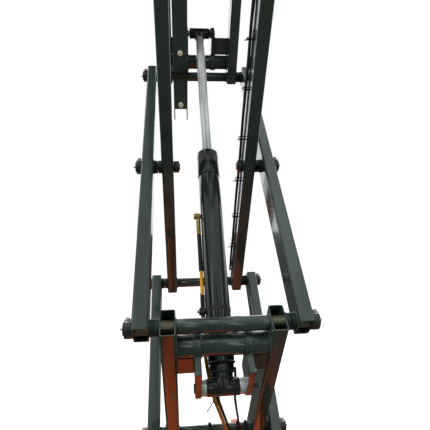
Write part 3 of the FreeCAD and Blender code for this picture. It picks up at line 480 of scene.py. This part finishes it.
def loft(bm, rings, closed=False, caps=False):
    """Faces between rings of points; closed joins the last ring to the first."""
    rows = [[bm.verts.new(point) for point in ring] for ring in rings]
    pairs = list(zip(rows, rows[1:])) + ([(rows[-1], rows[0])] if closed else [])
    for first, second in pairs:
        count = len(first)
        for k in range(count):
            bm.faces.new((first[k], first[(k + 1) % count], second[(k + 1) % count], second[k]))
    if caps:
        bm.faces.new(rows[0][::-1])
        bm.faces.new(rows[-1])
    return rows


def circle(radius, height, count, matrix, turn=0.0):
    return [
        matrix @ Vector((radius * math.cos(turn + 2 * math.pi * k / count),
                         radius * math.sin(turn + 2 * math.pi * k / count), height))
        for k in range(count)
    ]


def add_turned(bm, profile, matrix, count=36):
    """A solid spun round Z: (radius, height) points from one end to the other."""
    loft(bm, [circle(radius, height, count, matrix) for radius, height in profile], caps=True)


def add_ring(bm, profile, matrix, count=48):
    """A ring spun round Z from a closed (radius, height) section."""
    loft(bm, [circle(radius, height, count, matrix) for radius, height in profile], closed=True)


def add_hexagon(bm, across, height, matrix):
    """A hexagon head with a chamfered top."""
    corner = across / math.sqrt(3)
    chamfer = across * 0.07
    loft(bm, [circle(corner, 0, 6, matrix), circle(corner, height - chamfer, 6, matrix),
              circle(corner - chamfer, height, 6, matrix)], caps=True)


def add_bolt(bm, centre, direction, across, turn=0.0, washer=True):
    """A hexagon bolt head on its washer, looking along a direction."""
    matrix = facing(centre, direction, turn)
    lift = 0.0
    if washer:
        lift = across * 0.13
        outer = across * 0.92
        add_turned(bm, ((outer - 0.0006, 0), (outer, 0.0005), (outer, lift - 0.0005),
                        (outer - 0.0006, lift)), matrix, 28)
    head = matrix @ Matrix.Translation((0, 0, lift))
    add_turned(bm, ((across * 0.48, 0), (across * 0.48, across * 0.06)), head, 24)
    add_hexagon(bm, across, across * 0.62, head @ Matrix.Translation((0, 0, across * 0.04)))


def add_block(bm, size, matrix, bevel=0.0015):
    """A box with broken edges, centred on its matrix."""
    half_x, half_y, half_z = (0.5 * part for part in size)
    rings = []
    for height, inset in ((-half_z, bevel), (-half_z + bevel, 0), (half_z - bevel, 0), (half_z, bevel)):
        ring = []
        for sign_x, sign_y in ((1, 1), (-1, 1), (-1, -1), (1, -1)):
            x, y = half_x - inset, half_y - inset
            first = Vector((sign_x * x, sign_y * (y - bevel), height))
            second = Vector((sign_x * (x - bevel), sign_y * y, height))
            pair = (first, second) if sign_x == sign_y else (second, first)
            ring += [matrix @ point for point in pair]
        rings.append(ring)
    loft(bm, rings, caps=True)


def bead_radius(travel, bead, generator):
    """A weld bead swells and thins with every ripple the welder left."""
    ripple = 0.16 * math.sin(2 * math.pi * travel / 0.0046)
    return bead * (1 + ripple + generator.uniform(-0.07, 0.07))


def add_ring_weld(bm, centre, direction, radius, bead, generator):
    """A fillet weld round a tube or boss, where it meets a plate or arm."""
    matrix = facing(centre, direction)
    stations = max(40, int(2 * math.pi * radius / 0.0012))
    rings = []
    for k in range(stations):
        angle = 2 * math.pi * k / stations
        now = bead_radius(angle * radius, bead, generator)
        outward = Vector((math.cos(angle), math.sin(angle), 0))
        ring = []
        for step in range(7):
            around = 2 * math.pi * step / 7
            ring.append(matrix @ (outward * (radius + now * math.cos(around))
                                  + Vector((0, 0, now * math.sin(around)))))
        rings.append(ring)
    loft(bm, rings, closed=True)


def add_line_weld(bm, start, end, bead, generator):
    """A straight fillet weld between two points."""
    run = end - start
    matrix = facing(start, run)
    stations = max(6, int(run.length / 0.0012))
    rings = []
    for k in range(stations + 1):
        travel = run.length * k / stations
        ends = min(1.0, 0.35 + 4 * min(k, stations - k) / stations)
        now = bead_radius(travel, bead, generator) * ends
        rings.append(circle(now, travel, 7, matrix))
    loft(bm, rings, caps=True)


def smooth_line(points, per_metre=260):
    """Points along the smooth NURBS line that a route's points control."""
    curve = bpy.data.curves.new("route", "CURVE")
    curve.dimensions = "3D"
    spline = curve.splines.new("NURBS")
    spline.points.add(len(points) - 1)
    for target, point in zip(spline.points, points):
        target.co = (*point, 1)
    spline.order_u = 3
    spline.use_endpoint_u = True
    rough = sum((b - a).length for a, b in zip(points, points[1:]))
    spline.resolution_u = max(4, int(rough * per_metre / len(points)))
    holder = bpy.data.objects.new("route", curve)
    line = bpy.data.meshes.new_from_object(holder)
    found = [vertex.co.copy() for vertex in line.vertices]
    bpy.data.objects.remove(holder)
    bpy.data.curves.remove(curve)
    bpy.data.meshes.remove(line)
    return found


def tube_along(name, points, radius, material, body=None, sides=18):
    """A round tube along a line of points, with its length and girth in its UVs.

    Without a body it is left free.
    """
    bm = bmesh.new()
    chart = bm.loops.layers.uv.new("along")
    normal = None
    rows, travel, travels = [], 0.0, []
    for k, point in enumerate(points):
        ahead = points[min(k + 1, len(points) - 1)] - points[max(k - 1, 0)]
        ahead.normalize()
        if normal is None:
            normal = ahead.orthogonal().normalized()
        normal = (normal - ahead * normal.dot(ahead)).normalized()
        side = ahead.cross(normal)
        if k:
            travel += (point - points[k - 1]).length
        travels.append(travel)
        rows.append([
            bm.verts.new(point + (normal * math.cos(2 * math.pi * j / sides)
                                  + side * math.sin(2 * math.pi * j / sides)) * radius)
            for j in range(sides)
        ])
    for k in range(len(rows) - 1):
        for j in range(sides):
            after = (j + 1) % sides
            face = bm.faces.new((rows[k][j], rows[k][after], rows[k + 1][after], rows[k + 1][j]))
            corners = ((k, j), (k, j + 1), (k + 1, j + 1), (k + 1, j))
            for loop, (row, step) in zip(face.loops, corners):
                loop[chart].uv = (travels[row], step / sides)
    bm.faces.new(rows[0][::-1])
    bm.faces.new(rows[-1])
    mesh = bpy.data.meshes.new(name)
    bm.to_mesh(mesh)
    bm.free()
    mesh.materials.append(material)
    for face in mesh.polygons:
        face.use_smooth = len(face.vertices) == 4
    piece = bpy.data.objects.new(name, mesh)
    bpy.context.scene.collection.objects.link(piece)
    if body:
        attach(piece, body)
    return piece


def add_tie(bm, centre, direction, radius, generator, tail=0.045):
    """A cable tie round a bundle: its band, its lock and its cut tail, which sticks out to the left."""
    plain = facing(centre, direction).to_3x3()
    left = math.atan2(-(plain @ Vector((1, 0, 0))).y, (plain @ Vector((0, 1, 0))).y)
    matrix = facing(centre, direction, left + generator.uniform(-0.5, 0.5))
    half = 0.0021
    add_ring(bm, ((radius, -half), (radius + 0.0014, -half), (radius + 0.0014, half), (radius, half)),
             matrix, 28)
    add_block(bm, (0.0055, 0.0062, 0.0060), matrix @ Matrix.Translation((radius + 0.0026, 0, 0)), 0.0008)
    bend = generator.uniform(-0.35, 0.35)
    lean = Matrix.Rotation(bend, 4, "Z") @ Matrix.Rotation(generator.uniform(-0.3, 0.3), 4, "X")
    strip = matrix @ Matrix.Translation((radius + 0.0030, 0, 0)) @ lean
    add_block(bm, (0.0012, tail, 2 * half), strip @ Matrix.Translation((0, tail / 2, 0)), 0.0003)


# --------------------------------------------------------------------------- frame hardware

def make_welds():
    """Welds of tubes to arms and bosses to arms, one piece per body."""
    for stage in STAGES:
        body = f"{stage}_inner"
        generator = random.Random(len(stage) * 7 + 1)
        bm = bmesh.new()
        tubes = [(HALF_ARM, 0.0, TUBE_RADIUS)]
        if stage == "lower":
            tubes += [(-HALF_ARM + LUG_TUBE_ALONG, -LUG_TUBE_OFF, LUG_TUBE_RADIUS)]
        if stage == "upper":
            tubes += [(HALF_ARM - LUG_TUBE_ALONG, LUG_TUBE_OFF, LUG_TUBE_RADIUS),
                      (-HALF_ARM + END_TUBE_ALONG, 0.0, TUBE_RADIUS)]
        else:
            tubes += [(-HALF_ARM, 0.0, TUBE_RADIUS)]
        if stage != "middle":
            tubes += [(0.0, 0.0, TUBE_RADIUS)]
        for along, off, radius in tubes:
            for _, side in SIDES:
                centre = on_arm("inner", stage, along, side * INNER_IN, off)
                add_ring_weld(bm, centre, (0, 1, 0), radius + 0.001, 0.0036, generator)
        for along in (-HALF_ARM, 0.0, HALF_ARM):
            if (stage, along) in (("lower", HALF_ARM), ("upper", -HALF_ARM)):
                continue
            for _, side in SIDES:
                centre = on_arm("inner", stage, along, side * INNER_OUT, 0)
                add_ring_weld(bm, centre, (0, 1, 0), BOSS_WELD_RADIUS, 0.0028, generator)
        finish_piece(f"{stage}_inner_welds", bm, PAINT, body, 60)
        bm = bmesh.new()
        for along in (-HALF_ARM, 0.0, HALF_ARM):
            if (stage, along) in (("lower", -HALF_ARM), ("upper", HALF_ARM)):
                continue
            for _, side in SIDES:
                centre = on_arm("outer", stage, along, side * OUTER_IN, 0)
                add_ring_weld(bm, centre, (0, 1, 0), BOSS_WELD_RADIUS, 0.0028, generator)
        finish_piece(f"{stage}_outer_welds", bm, PAINT, f"{stage}_outer", 60)


def make_lug_welds():
    """Welds where the lug plates grip their tube, and where the stiffeners meet lug and arm."""
    for stage, flip, end, inside in (("lower", 1, -HALF_ARM, LOWER_LUG_IN),
                                     ("upper", -1, HALF_ARM, UPPER_LUG_IN)):
        generator = random.Random(41 + flip)
        bm = bmesh.new()
        tube = (end + flip * LUG_TUBE_ALONG, -flip * LUG_TUBE_OFF)
        outside = inside + LUG_THICK
        for _, side in SIDES:
            for across in (inside, outside):
                centre = on_arm("inner", stage, tube[0], side * across, tube[1])
                add_ring_weld(bm, centre, (0, 1, 0), LUG_TUBE_RADIUS + 0.001, 0.0038, generator)
            near, far = (tube[0] + flip * reach for reach in STIFFENER_REACH)
            for across in (outside + 0.001, INNER_IN - 0.001):
                for off in STIFFENER_FACES:
                    start = on_arm("inner", stage, near, side * across, -flip * off)
                    stop = on_arm("inner", stage, far, side * across, -flip * off)
                    add_line_weld(bm, start, stop, 0.0028, generator)
        finish_piece(f"{stage}_lug_welds", bm, PAINT, f"{stage}_inner", 60)


def make_lock_bolts():
    """The bolt that locks each pin's collar, with its spring washer, and the grease nipples."""
    places = {"lower": (0.0, HALF_ARM), "middle": (-HALF_ARM, 0.0, HALF_ARM), "upper": (-HALF_ARM, 0.0)}
    for stage, stations in places.items():
        bolts, nipples = bmesh.new(), bmesh.new()
        for along in stations:
            for _, side in SIDES:
                axis = on_arm("outer", stage, along, side * (OUTER_OUT + 0.012), 0)
                out = Vector((-0.35, 0, 0.94))
                add_bolt(bolts, axis + out * 0.0295, out, 0.013, 0.3 * along)
                tip = on_arm("outer", stage, along, side * (OUTER_OUT + 0.029), 0)
                matrix = facing(tip, (0, side, 0))
                add_turned(nipples, ((0.0045, 0), (0.0045, 0.003), (0.0028, 0.0035), (0.0028, 0.006),
                                     (0.0034, 0.007), (0.0026, 0.0095), (0.0010, 0.0100)), matrix, 18)
        finish_piece(f"{stage}_lock_bolts", bolts, BRIGHT, f"{stage}_outer")
        finish_piece(f"{stage}_grease_nipples", nipples, BRIGHT, f"{stage}_outer")


# ----------------------------------------------------------------------------- cylinder details

CLAMP_UP = 0.255


def make_cylinder_details():
    """Welds, trim rings and wiper of the cylinder, and the clamp that holds its hoses."""
    generator = random.Random(5)
    welds = bmesh.new()
    for up, radius, bead in ((0.0755, 0.0448, 0.0030), (0.0460, 0.0415, 0.0012)):
        add_ring_weld(welds, on_cylinder(up, 0, 0), CYLINDER.to_3x3() @ Vector((0, 0, 1)), radius, bead,
                      generator)
    add_ring_weld(welds, on_cylinder(0.0262, 0, 0), CYLINDER.to_3x3() @ Vector((0, 0, 1)), 0.0345, 0.0040,
                  generator)
    finish_piece("cylinder_welds", welds, BLACK, "cylinder", 60)

    trim = bmesh.new()
    for up, radius in ((0.8325, 0.0462), (0.8390, 0.0469), (0.9300, 0.0469)):
        add_ring(trim, ((radius - 0.002, -0.0012), (radius + 0.0004, -0.0008), (radius + 0.0004, 0.0008),
                        (radius - 0.002, 0.0012)), CYLINDER @ Matrix.Translation((0, 0, up)), 64)
    finish_piece("gland_rings", trim, BLACK, "cylinder")

    wiper = bmesh.new()
    add_ring(wiper, ((0.0226, 0.957), (0.0300, 0.957), (0.0300, 0.9625), (0.0265, 0.9655),
                     (0.0228, 0.9660)), CYLINDER, 56)
    finish_piece("rod_wiper", wiper, RUBBER, "cylinder")

    band = bmesh.new()
    add_ring(band, ((0.0450, -0.008), (0.0468, -0.008), (0.0468, 0.008), (0.0450, 0.008)),
             CYLINDER @ Matrix.Translation((0, 0, CLAMP_UP)), 64)
    block = CYLINDER @ Matrix.Translation((0.010, 0.0560, CLAMP_UP))
    add_block(band, (0.042, 0.022, 0.020), block, 0.002)
    finish_piece("hose_clamp", band, PLASTIC, "cylinder")

    clamp_bolt = bmesh.new()
    add_bolt(clamp_bolt, on_cylinder(CLAMP_UP, 0.0670, 0.010), (0, 1, 0), 0.010, 0.4)
    finish_piece("hose_clamp_bolt", clamp_bolt, BRIGHT, "cylinder")


def make_safety_prop_details():
    """The two bolts through the prop's web, and the band that stiffens it."""
    bolts, band = bmesh.new(), bmesh.new()
    web_off, middle, band_along = -0.092, 0.108, 0.691
    under = arm_frame("inner", "upper").to_3x3() @ Vector((0, 0, -1))
    for along in (0.585, 0.861):
        add_bolt(bolts, on_arm("inner", "upper", along, middle, web_off), under, 0.024, 0.2, False)
    finish_piece("prop_bolts", bolts, YELLOW_BOLT, "prop")
    matrix = arm_frame("inner", "upper")
    for along, long, thick in ((band_along - 0.012, 0.010, 0.007), (band_along, 0.016, 0.003),
                              (band_along + 0.012, 0.010, 0.007)):
        add_block(band, (long, 0.086, thick),
                  matrix @ Matrix.Translation((along, middle, web_off - thick / 2)), 0.0008)
    for side in (-1, 1):
        add_block(band, (0.034, 0.005, 0.044),
                  matrix @ Matrix.Translation((band_along, middle + side * 0.0405, web_off + 0.019)), 0.001)
    finish_piece("prop_band", band, SATIN, "prop")
    ring = bmesh.new()
    add_ring(ring, ((0.0151, 0), (0.0235, 0), (0.0235, 0.0065), (0.0151, 0.0065)),
             facing(upper_rod_pin() - Vector((0, 0.0550, 0)), (0, -1, 0)), 40)
    finish_piece("rod_pin_spacer", ring, PIN_STEEL, "upper_inner")


# ------------------------------------------------------------------------------ hoses and cables

TIE_TUBE = MIDDLES["lower"]
ELBOW_UP, ELBOW_OUT, ELBOW_DOWN = 0.642, 0.055, 0.074
JOIN_GAP = 0.0005
PORT_X = -0.361
PORT_Y = -0.066


def carried_on(points, lead=0.016):
    heading = (points[-1] - points[-2]).normalized()
    return [points[-1] + heading * JOIN_GAP, points[-1] + heading * (JOIN_GAP + lead)]


def round_tie_tube(across, radius):
    clear = TUBE_RADIUS + radius + 0.004
    return [Vector((TIE_TUBE.x - clear, across, TIE_TUBE.z + 0.004)),
            Vector((TIE_TUBE.x - clear - 0.003, across - 0.012, TIE_TUBE.z - 0.022))]


def world(*points):
    return [Vector(point) * MM for point in points]


def pressure_route():
    """From the fitting down the barrel's left side, behind its base eye and across to the middle tube."""
    return [
        on_cylinder(ELBOW_UP - ELBOW_DOWN - JOIN_GAP, ELBOW_OUT, 0), on_cylinder(0.488, 0.054, 0.001),
        on_cylinder(0.330, 0.053, 0.002), on_cylinder(0.190, 0.054, 0.006),
        on_cylinder(0.090, 0.053, 0.024),
    ] + world((-649, 28, 1001), (-550, 4, 913), (-450, -20, 824), (-351, -43, 736)) + round_tie_tube(
        -0.058, 0.0065)


def return_route():
    """The return hose joins the pressure hose half way down the barrel and stays beside it."""
    return [
        on_cylinder(0.330, 0.055, 0.024), on_cylinder(0.190, 0.056, 0.028), on_cylinder(0.090, 0.053, 0.046),
    ] + world((-640, 15, 998), (-541, -9, 911), (-443, -33, 823), (-344, -57, 734)) + round_tie_tube(
        -0.073, 0.0055)


def cable_route():
    """The valve cable: out from behind the base eye's right side to the middle tube's right end."""
    return [
        on_cylinder(0.060, -0.047, 0.014), on_cylinder(0.020, -0.048, 0.034),
    ] + world((-646, -46, 997), (-547, -65, 908), (-448, -84, 819), (-349, -103, 731)) + round_tie_tube(
        -0.112, 0.0045)


def arm_route(before, gap, off):
    """From the middle tube under the inner arm, and down inside the outer arm to its lower end."""
    start, lead = carried_on(before)
    return [
        start, lead, on_arm("inner", "lower", 0.048, start.y - 0.030, -0.058),
        on_arm("inner", "lower", 0.062, -0.166, -0.078), on_arm("inner", "lower", 0.074, -0.204, -0.084),
        on_arm("outer", "lower", -0.150, gap, off), on_arm("outer", "lower", -0.330, gap, off + 0.002),
        on_arm("outer", "lower", -0.500, gap, off),
        on_arm("outer", "lower", -HALF_ARM + 0.200, gap + 0.020, off - 0.014),
    ]


def base_route(before, port):
    """From the outer arm's lower end down to the valve block's port."""
    start, lead = carried_on(before)
    return [
        start, lead, start + Vector((0.006, 0.060, -0.066)), Vector((-0.510, -0.146, port + 0.060)),
        Vector((-0.440, -0.142, port + 0.016)), Vector((PORT_X - 0.018, -0.128, port + 0.001)),
        Vector((PORT_X, PORT_Y - 0.030, port)), Vector((PORT_X, PORT_Y - JOIN_GAP, port)),
    ]


def sleeve(name, line, low, high, radius, material):
    """A wrap over the part of a hose between two distances up the barrel."""
    back = CYLINDER.inverted()
    inside = [point for point in line if low < (back @ point).z < high]
    return tube_along(name, inside, radius, material, "cylinder")


def make_hoses():
    """Two hoses from cylinder to power pack, in three lengths that meet at clips, and the valve cable."""
    pressure, returned = pressure_route(), return_route()
    pressure_arm = arm_route(pressure, -0.226, -0.024)
    return_arm = arm_route(returned, -0.227, -0.008)
    hoses = (
        ("pressure", HOSE_ORANGE, 0.0065, pressure, pressure_arm, base_route(pressure_arm, 0.096)),
        ("return", HOSE_BLACK, 0.0055, returned, return_arm, base_route(return_arm, 0.130)),
    )
    clips = bmesh.new()
    for name, material, radius, upper, middle, lower in hoses:
        line = smooth_line(upper)
        piece = tube_along(f"{name}_hose_upper", line, radius, material)
        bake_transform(piece)
        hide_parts("cylinder_hoses")
        if name == "pressure":
            sleeve("pressure_hose_wrap", line, 0.405, 0.562, 0.0086, HOSE_BLACK)
            sleeve("pressure_hose_lower_wrap", line, 0.200, 0.318, 0.0080, HOSE_BLACK)
        piece = tube_along(f"{name}_hose_middle", smooth_line(middle), radius, material)
        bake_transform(piece)
        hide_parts("arm_hoses")
        piece = tube_along(f"{name}_hose_lower", smooth_line(lower), radius, material)
        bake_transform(piece)
        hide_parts("base_hoses")
        run = upper[-1] - upper[-2]
        matrix = facing(upper[-1], run)
        add_ring(clips, ((radius, -0.007), (radius + 0.0022, -0.007), (radius + 0.0022, 0.007),
                         (radius, 0.007)), matrix, 28)
    cable = tube_along("valve_cable", smooth_line(cable_route()), 0.0045, RUBBER)
    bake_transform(cable)
    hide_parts("cylinder_hoses")
    finish_piece("hose_joint_clips", clips, PLASTIC, "lower_inner")


def arm_cable_route(radius, edge, end):
    beside = -INNER_IN + radius + 0.0006
    stations = (-end, -end + 0.080, -0.440, -0.230, -0.020, 0.190, 0.400, end - 0.080, end)
    return [
        on_arm("inner", "middle", along, beside + 0.003 * (number % 2), edge)
        for number, along in enumerate(stations)
    ]


def make_arm_cables():
    """Two cables tied along the middle inner frame's right arm."""
    ties = bmesh.new()
    generator = random.Random(12)
    for name, radius, edge, end in (("control_cable", 0.0052, 0.042, 0.690),
                                    ("sensor_cable", 0.0042, 0.034, 0.650)):
        line = smooth_line(arm_cable_route(radius, edge, end))
        piece = tube_along(name, line, radius, RUBBER, "middle_inner")
        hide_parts("control_cables")
    along_arm = arm_frame("inner", "middle").to_3x3() @ Vector((1, 0, 0))
    for along in (-0.52, -0.335, -0.12, 0.09, 0.30, 0.50):
        centre = on_arm("inner", "middle", along, -INNER_IN + 0.0075, 0.036)
        add_tie(ties, centre, along_arm, 0.0125, generator, 0.024)
    finish_piece("arm_cable_ties", ties, PLASTIC, "middle_inner")


# ---------------------------------------------------------------------- base, power pack, platform

COVER_TOP = 0.064
TANK_END, TANK_TOP = -0.030, COVER_TOP + 0.112
BLOCK_TOP = COVER_TOP + 0.094
MOTOR_FACE, MOTOR_AXIS = -0.392, COVER_TOP + 0.052
TRACK_END = 0.800
DECK_TOP = next(mount["pos_m"][2] for mount in frame["record"]["mounts"] if mount["name"] == "deck_top")


def make_base_details():
    """Cover screws, and a rubber buffer at the closed end of each roller track."""
    screws = bmesh.new()
    for x in (-0.820, -0.410, 0.000, 0.410, 0.820):
        for y in (-0.188, 0.188):
            add_bolt(screws, Vector((x, y, COVER_TOP)), (0, 0, 1), 0.013, 0.7 * x)
    finish_piece("cover_screws", screws, BRIGHT, "base")
    for name, body, inside, tall in (("lower", "base", 0.205, pivot("lift").z),
                                     ("upper", "platform", 0.289, pivot("platform_pivot").z)):
        buffers, plates = bmesh.new(), bmesh.new()
        for _, side in SIDES:
            centre = Vector((TRACK_END - 0.006, side * (inside + 0.023), tall))
            add_block(plates, (0.008, 0.044, 0.100), Matrix.Translation(centre), 0.001)
            tip = facing(centre - Vector((0.004, 0, 0)), (-1, 0, 0))
            add_turned(buffers, ((0.016, 0), (0.017, 0.004), (0.015, 0.012), (0.010, 0.016), (0.004, 0.017)),
                       tip, 32)
        finish_piece(f"{name}_track_stops", plates, ORANGE if name == "lower" else PAINT, body)
        finish_piece(f"{name}_track_buffers", buffers, RUBBER, body)


def make_power_pack_details():
    """Motor fins, terminal box lid, filler cap, sight glass, coil and socket screws."""
    fins = bmesh.new()
    for number in range(13):
        middle = facing((MOTOR_FACE - 0.016 - 0.0092 * number, 0, MOTOR_AXIS), (1, 0, 0))
        add_ring(fins, ((0.0455, -0.0016), (0.0505, -0.0011), (0.0505, 0.0011), (0.0455, 0.0016)), middle, 56)
    lid = Matrix.Translation((MOTOR_FACE - 0.075, 0, MOTOR_AXIS + 0.0675))
    add_block(fins, (0.068, 0.050, 0.005), lid, 0.0015)
    finish_piece("motor_fins", fins, MOTOR, "base")
    screws = bmesh.new()
    for x in (-0.027, 0.027):
        for y in (-0.018, 0.018):
            add_bolt(screws, lid @ Vector((x, y, 0.0025)), (0, 0, 1), 0.006, x, False)
    for x in (-0.021, 0.021):
        for y in (-0.032, 0.038):
            head = facing((PORT_X + x, y, BLOCK_TOP), (0, 0, 1))
            add_turned(screws, ((0.0062, 0), (0.0065, 0.0008), (0.0065, 0.0055), (0.0058, 0.0065),
                                (0.0034, 0.0065), (0.0034, 0.0030)), head, 28)
    finish_piece("power_pack_screws", screws, BRIGHT, "base")
    coil = bmesh.new()
    add_block(coil, (0.036, 0.034, 0.030), Matrix.Translation((PORT_X, -0.006, BLOCK_TOP + 0.015)), 0.003)
    add_block(coil, (0.026, 0.016, 0.020), Matrix.Translation((PORT_X, -0.030, BLOCK_TOP + 0.014)), 0.002)
    finish_piece("valve_coil", coil, PLASTIC, "base")
    cap = bmesh.new()
    for number in range(24):
        around = 2 * math.pi * number / 24
        at = Matrix.Translation((TANK_END - 0.045, 0.055, TANK_TOP + 0.014)) @ Matrix.Rotation(around, 4, "Z")
        add_block(cap, (0.0030, 0.0026, 0.014), at @ Matrix.Translation((0.0222, 0, 0)), 0.0006)
    finish_piece("filler_cap_grips", cap, PLASTIC, "base")
    glass = bmesh.new()
    add_turned(glass, ((0.0140, 0), (0.0140, 0.003), (0.0115, 0.004), (0.0100, 0.0028)),
               facing((TANK_END - 0.050, -0.095, COVER_TOP + 0.060), (0, -1, 0)), 40)
    finish_piece("sight_glass", glass, BRASS, "base")
    band = bmesh.new()
    for x in (-0.250, -0.110):
        add_block(band, (0.022, 0.1930, 0.0025), Matrix.Translation((x, 0, TANK_TOP + 0.0010)), 0.0008)
        for side in (-1, 1):
            add_block(band, (0.022, 0.0025, 0.110),
                      Matrix.Translation((x, side * 0.0962, COVER_TOP + 0.0555)), 0.0008)
    finish_piece("tank_straps", band, BRIGHT, "base")


def make_deck_tread():
    """Raised lozenges over the deck, turned alternately."""
    tread = bmesh.new()
    pitch = 0.050
    for column in range(33):
        for row in range(14):
            x = (column - 16) * pitch
            y = (row - 6.5) * pitch
            lean = math.radians(45 if (column + row) % 2 else -45)
            matrix = Matrix.Translation((x, y, DECK_TOP)) @ Matrix.Rotation(lean, 4, "Z")
            low, high = [], []
            for along, across in ((0.0150, 0), (0.007, 0.0032), (-0.007, 0.0032), (-0.0150, 0),
                                  (-0.007, -0.0032), (0.007, -0.0032)):
                low.append(matrix @ Vector((along, across, -0.0002)))
                high.append(matrix @ Vector((0.8 * along, 0.5 * across, 0.0013)))
            loft(tread, (low, high), caps=True)
    finish_piece("deck_tread", tread, DECK_STEEL, "platform", 50)


def make_tube_clips():
    """Clips on the lower middle tube, and a tie with a loose tail on the hoses above it."""
    clips = bmesh.new()
    for across, long in ((0.020, 0.013), (-0.100, 0.008), (-0.135, 0.010)):
        matrix = facing(TIE_TUBE + Vector((0, across, 0)), (0, 1, 0))
        half, tube = long / 2, TUBE_RADIUS
        add_ring(clips, ((tube, -half), (tube + 0.002, -half), (tube + 0.002, half), (tube, half)),
                 matrix, 40)
        ear = Matrix.Translation(TIE_TUBE + Vector((-0.006, across, tube + 0.006)))
        add_block(clips, (0.010, long, 0.013), ear, 0.001)
    along = Vector((0.728, -0.06, -0.66))
    knot = Vector((-0.622, 0.021, 0.977))
    add_ring(clips, ((0.0125, -0.002), (0.0140, -0.002), (0.0140, 0.002), (0.0125, 0.002)),
             facing(knot + Vector((0.004, -0.006, 0)), along), 28)
    tail = Vector((-0.004, 0.024, -0.034))
    tail_start = knot + Vector((-0.008, 0.006, 0))
    add_block(clips, (0.0012, 0.0036, tail.length), facing(tail_start + tail / 2, tail), 0.0003)
    finish_piece("tube_clips", clips, PLASTIC, "lower_inner")


# -------------------------------------------------------------------------------------- staging

def make_floor():
    """A plain pale floor.  What mirrors it sees it dim, with orange painted round the base: a painted
    reflection of light thrown down by the orange base, and painted shade farther out.
    """
    look = Look("floor", Roughness=0.7, Specular_IOR_Level=0.1)
    pale = look.ramp(look.noise(0.8, 4), (0.3, (0.88, 0.88, 0.88)), (0.7, (0.91, 0.91, 0.91)))
    seen = look.node("ShaderNodeLightPath").outputs["Is Camera Ray"]
    flat = look.node("ShaderNodeMapping", Vector=look.place, Scale=(0.8, 1.5, 1)).outputs[0]
    away = look.node("ShaderNodeVectorMath", Vector=flat)
    away.operation = "LENGTH"
    # Painted light and shade, seen only in reflections: orange round the base as if lit by the orange base,
    # and dark farther out.
    painted_base_bounce = look.ramp(away.outputs["Value"], (0.45, (0.50, 0.12, 0.035)), (0.95, (0.07, 0.07, 0.06)))
    look.give("Base Color", look.mix(seen, painted_base_bounce, pale))
    look.give("Emission Color", pale)
    look.give("Emission Strength", look.maths("MULTIPLY", seen, 0.75))
    mesh = bpy.data.meshes.new("floor")
    reach = 60
    mesh.from_pydata([(-reach, -reach, 0), (reach, -reach, 0), (reach, reach, 0), (-reach, reach, 0)],
                     [], [(0, 1, 2, 3)])
    mesh.materials.append(look.material)
    floor = bpy.data.objects.new("floor", mesh)
    floor.location.z = -0.0005
    bpy.context.scene.collection.objects.link(floor)


make_camera()
make_world()
make_floor()
make_area_light("key", (-3.5, 2.6, 5.2), (-0.2, 0, 1.8), (3.0, 3.0), 260)
make_area_light("fill", (-2.8, -3.4, 3.0), (-0.2, 0, 1.4), (2.6, 2.6), 110)
dress_cad_nodes()
make_welds()
make_lug_welds()
make_lock_bolts()
make_cylinder_details()
make_safety_prop_details()
make_hoses()
make_arm_cables()
make_tube_clips()
make_base_details()
make_power_pack_details()
make_deck_tread()
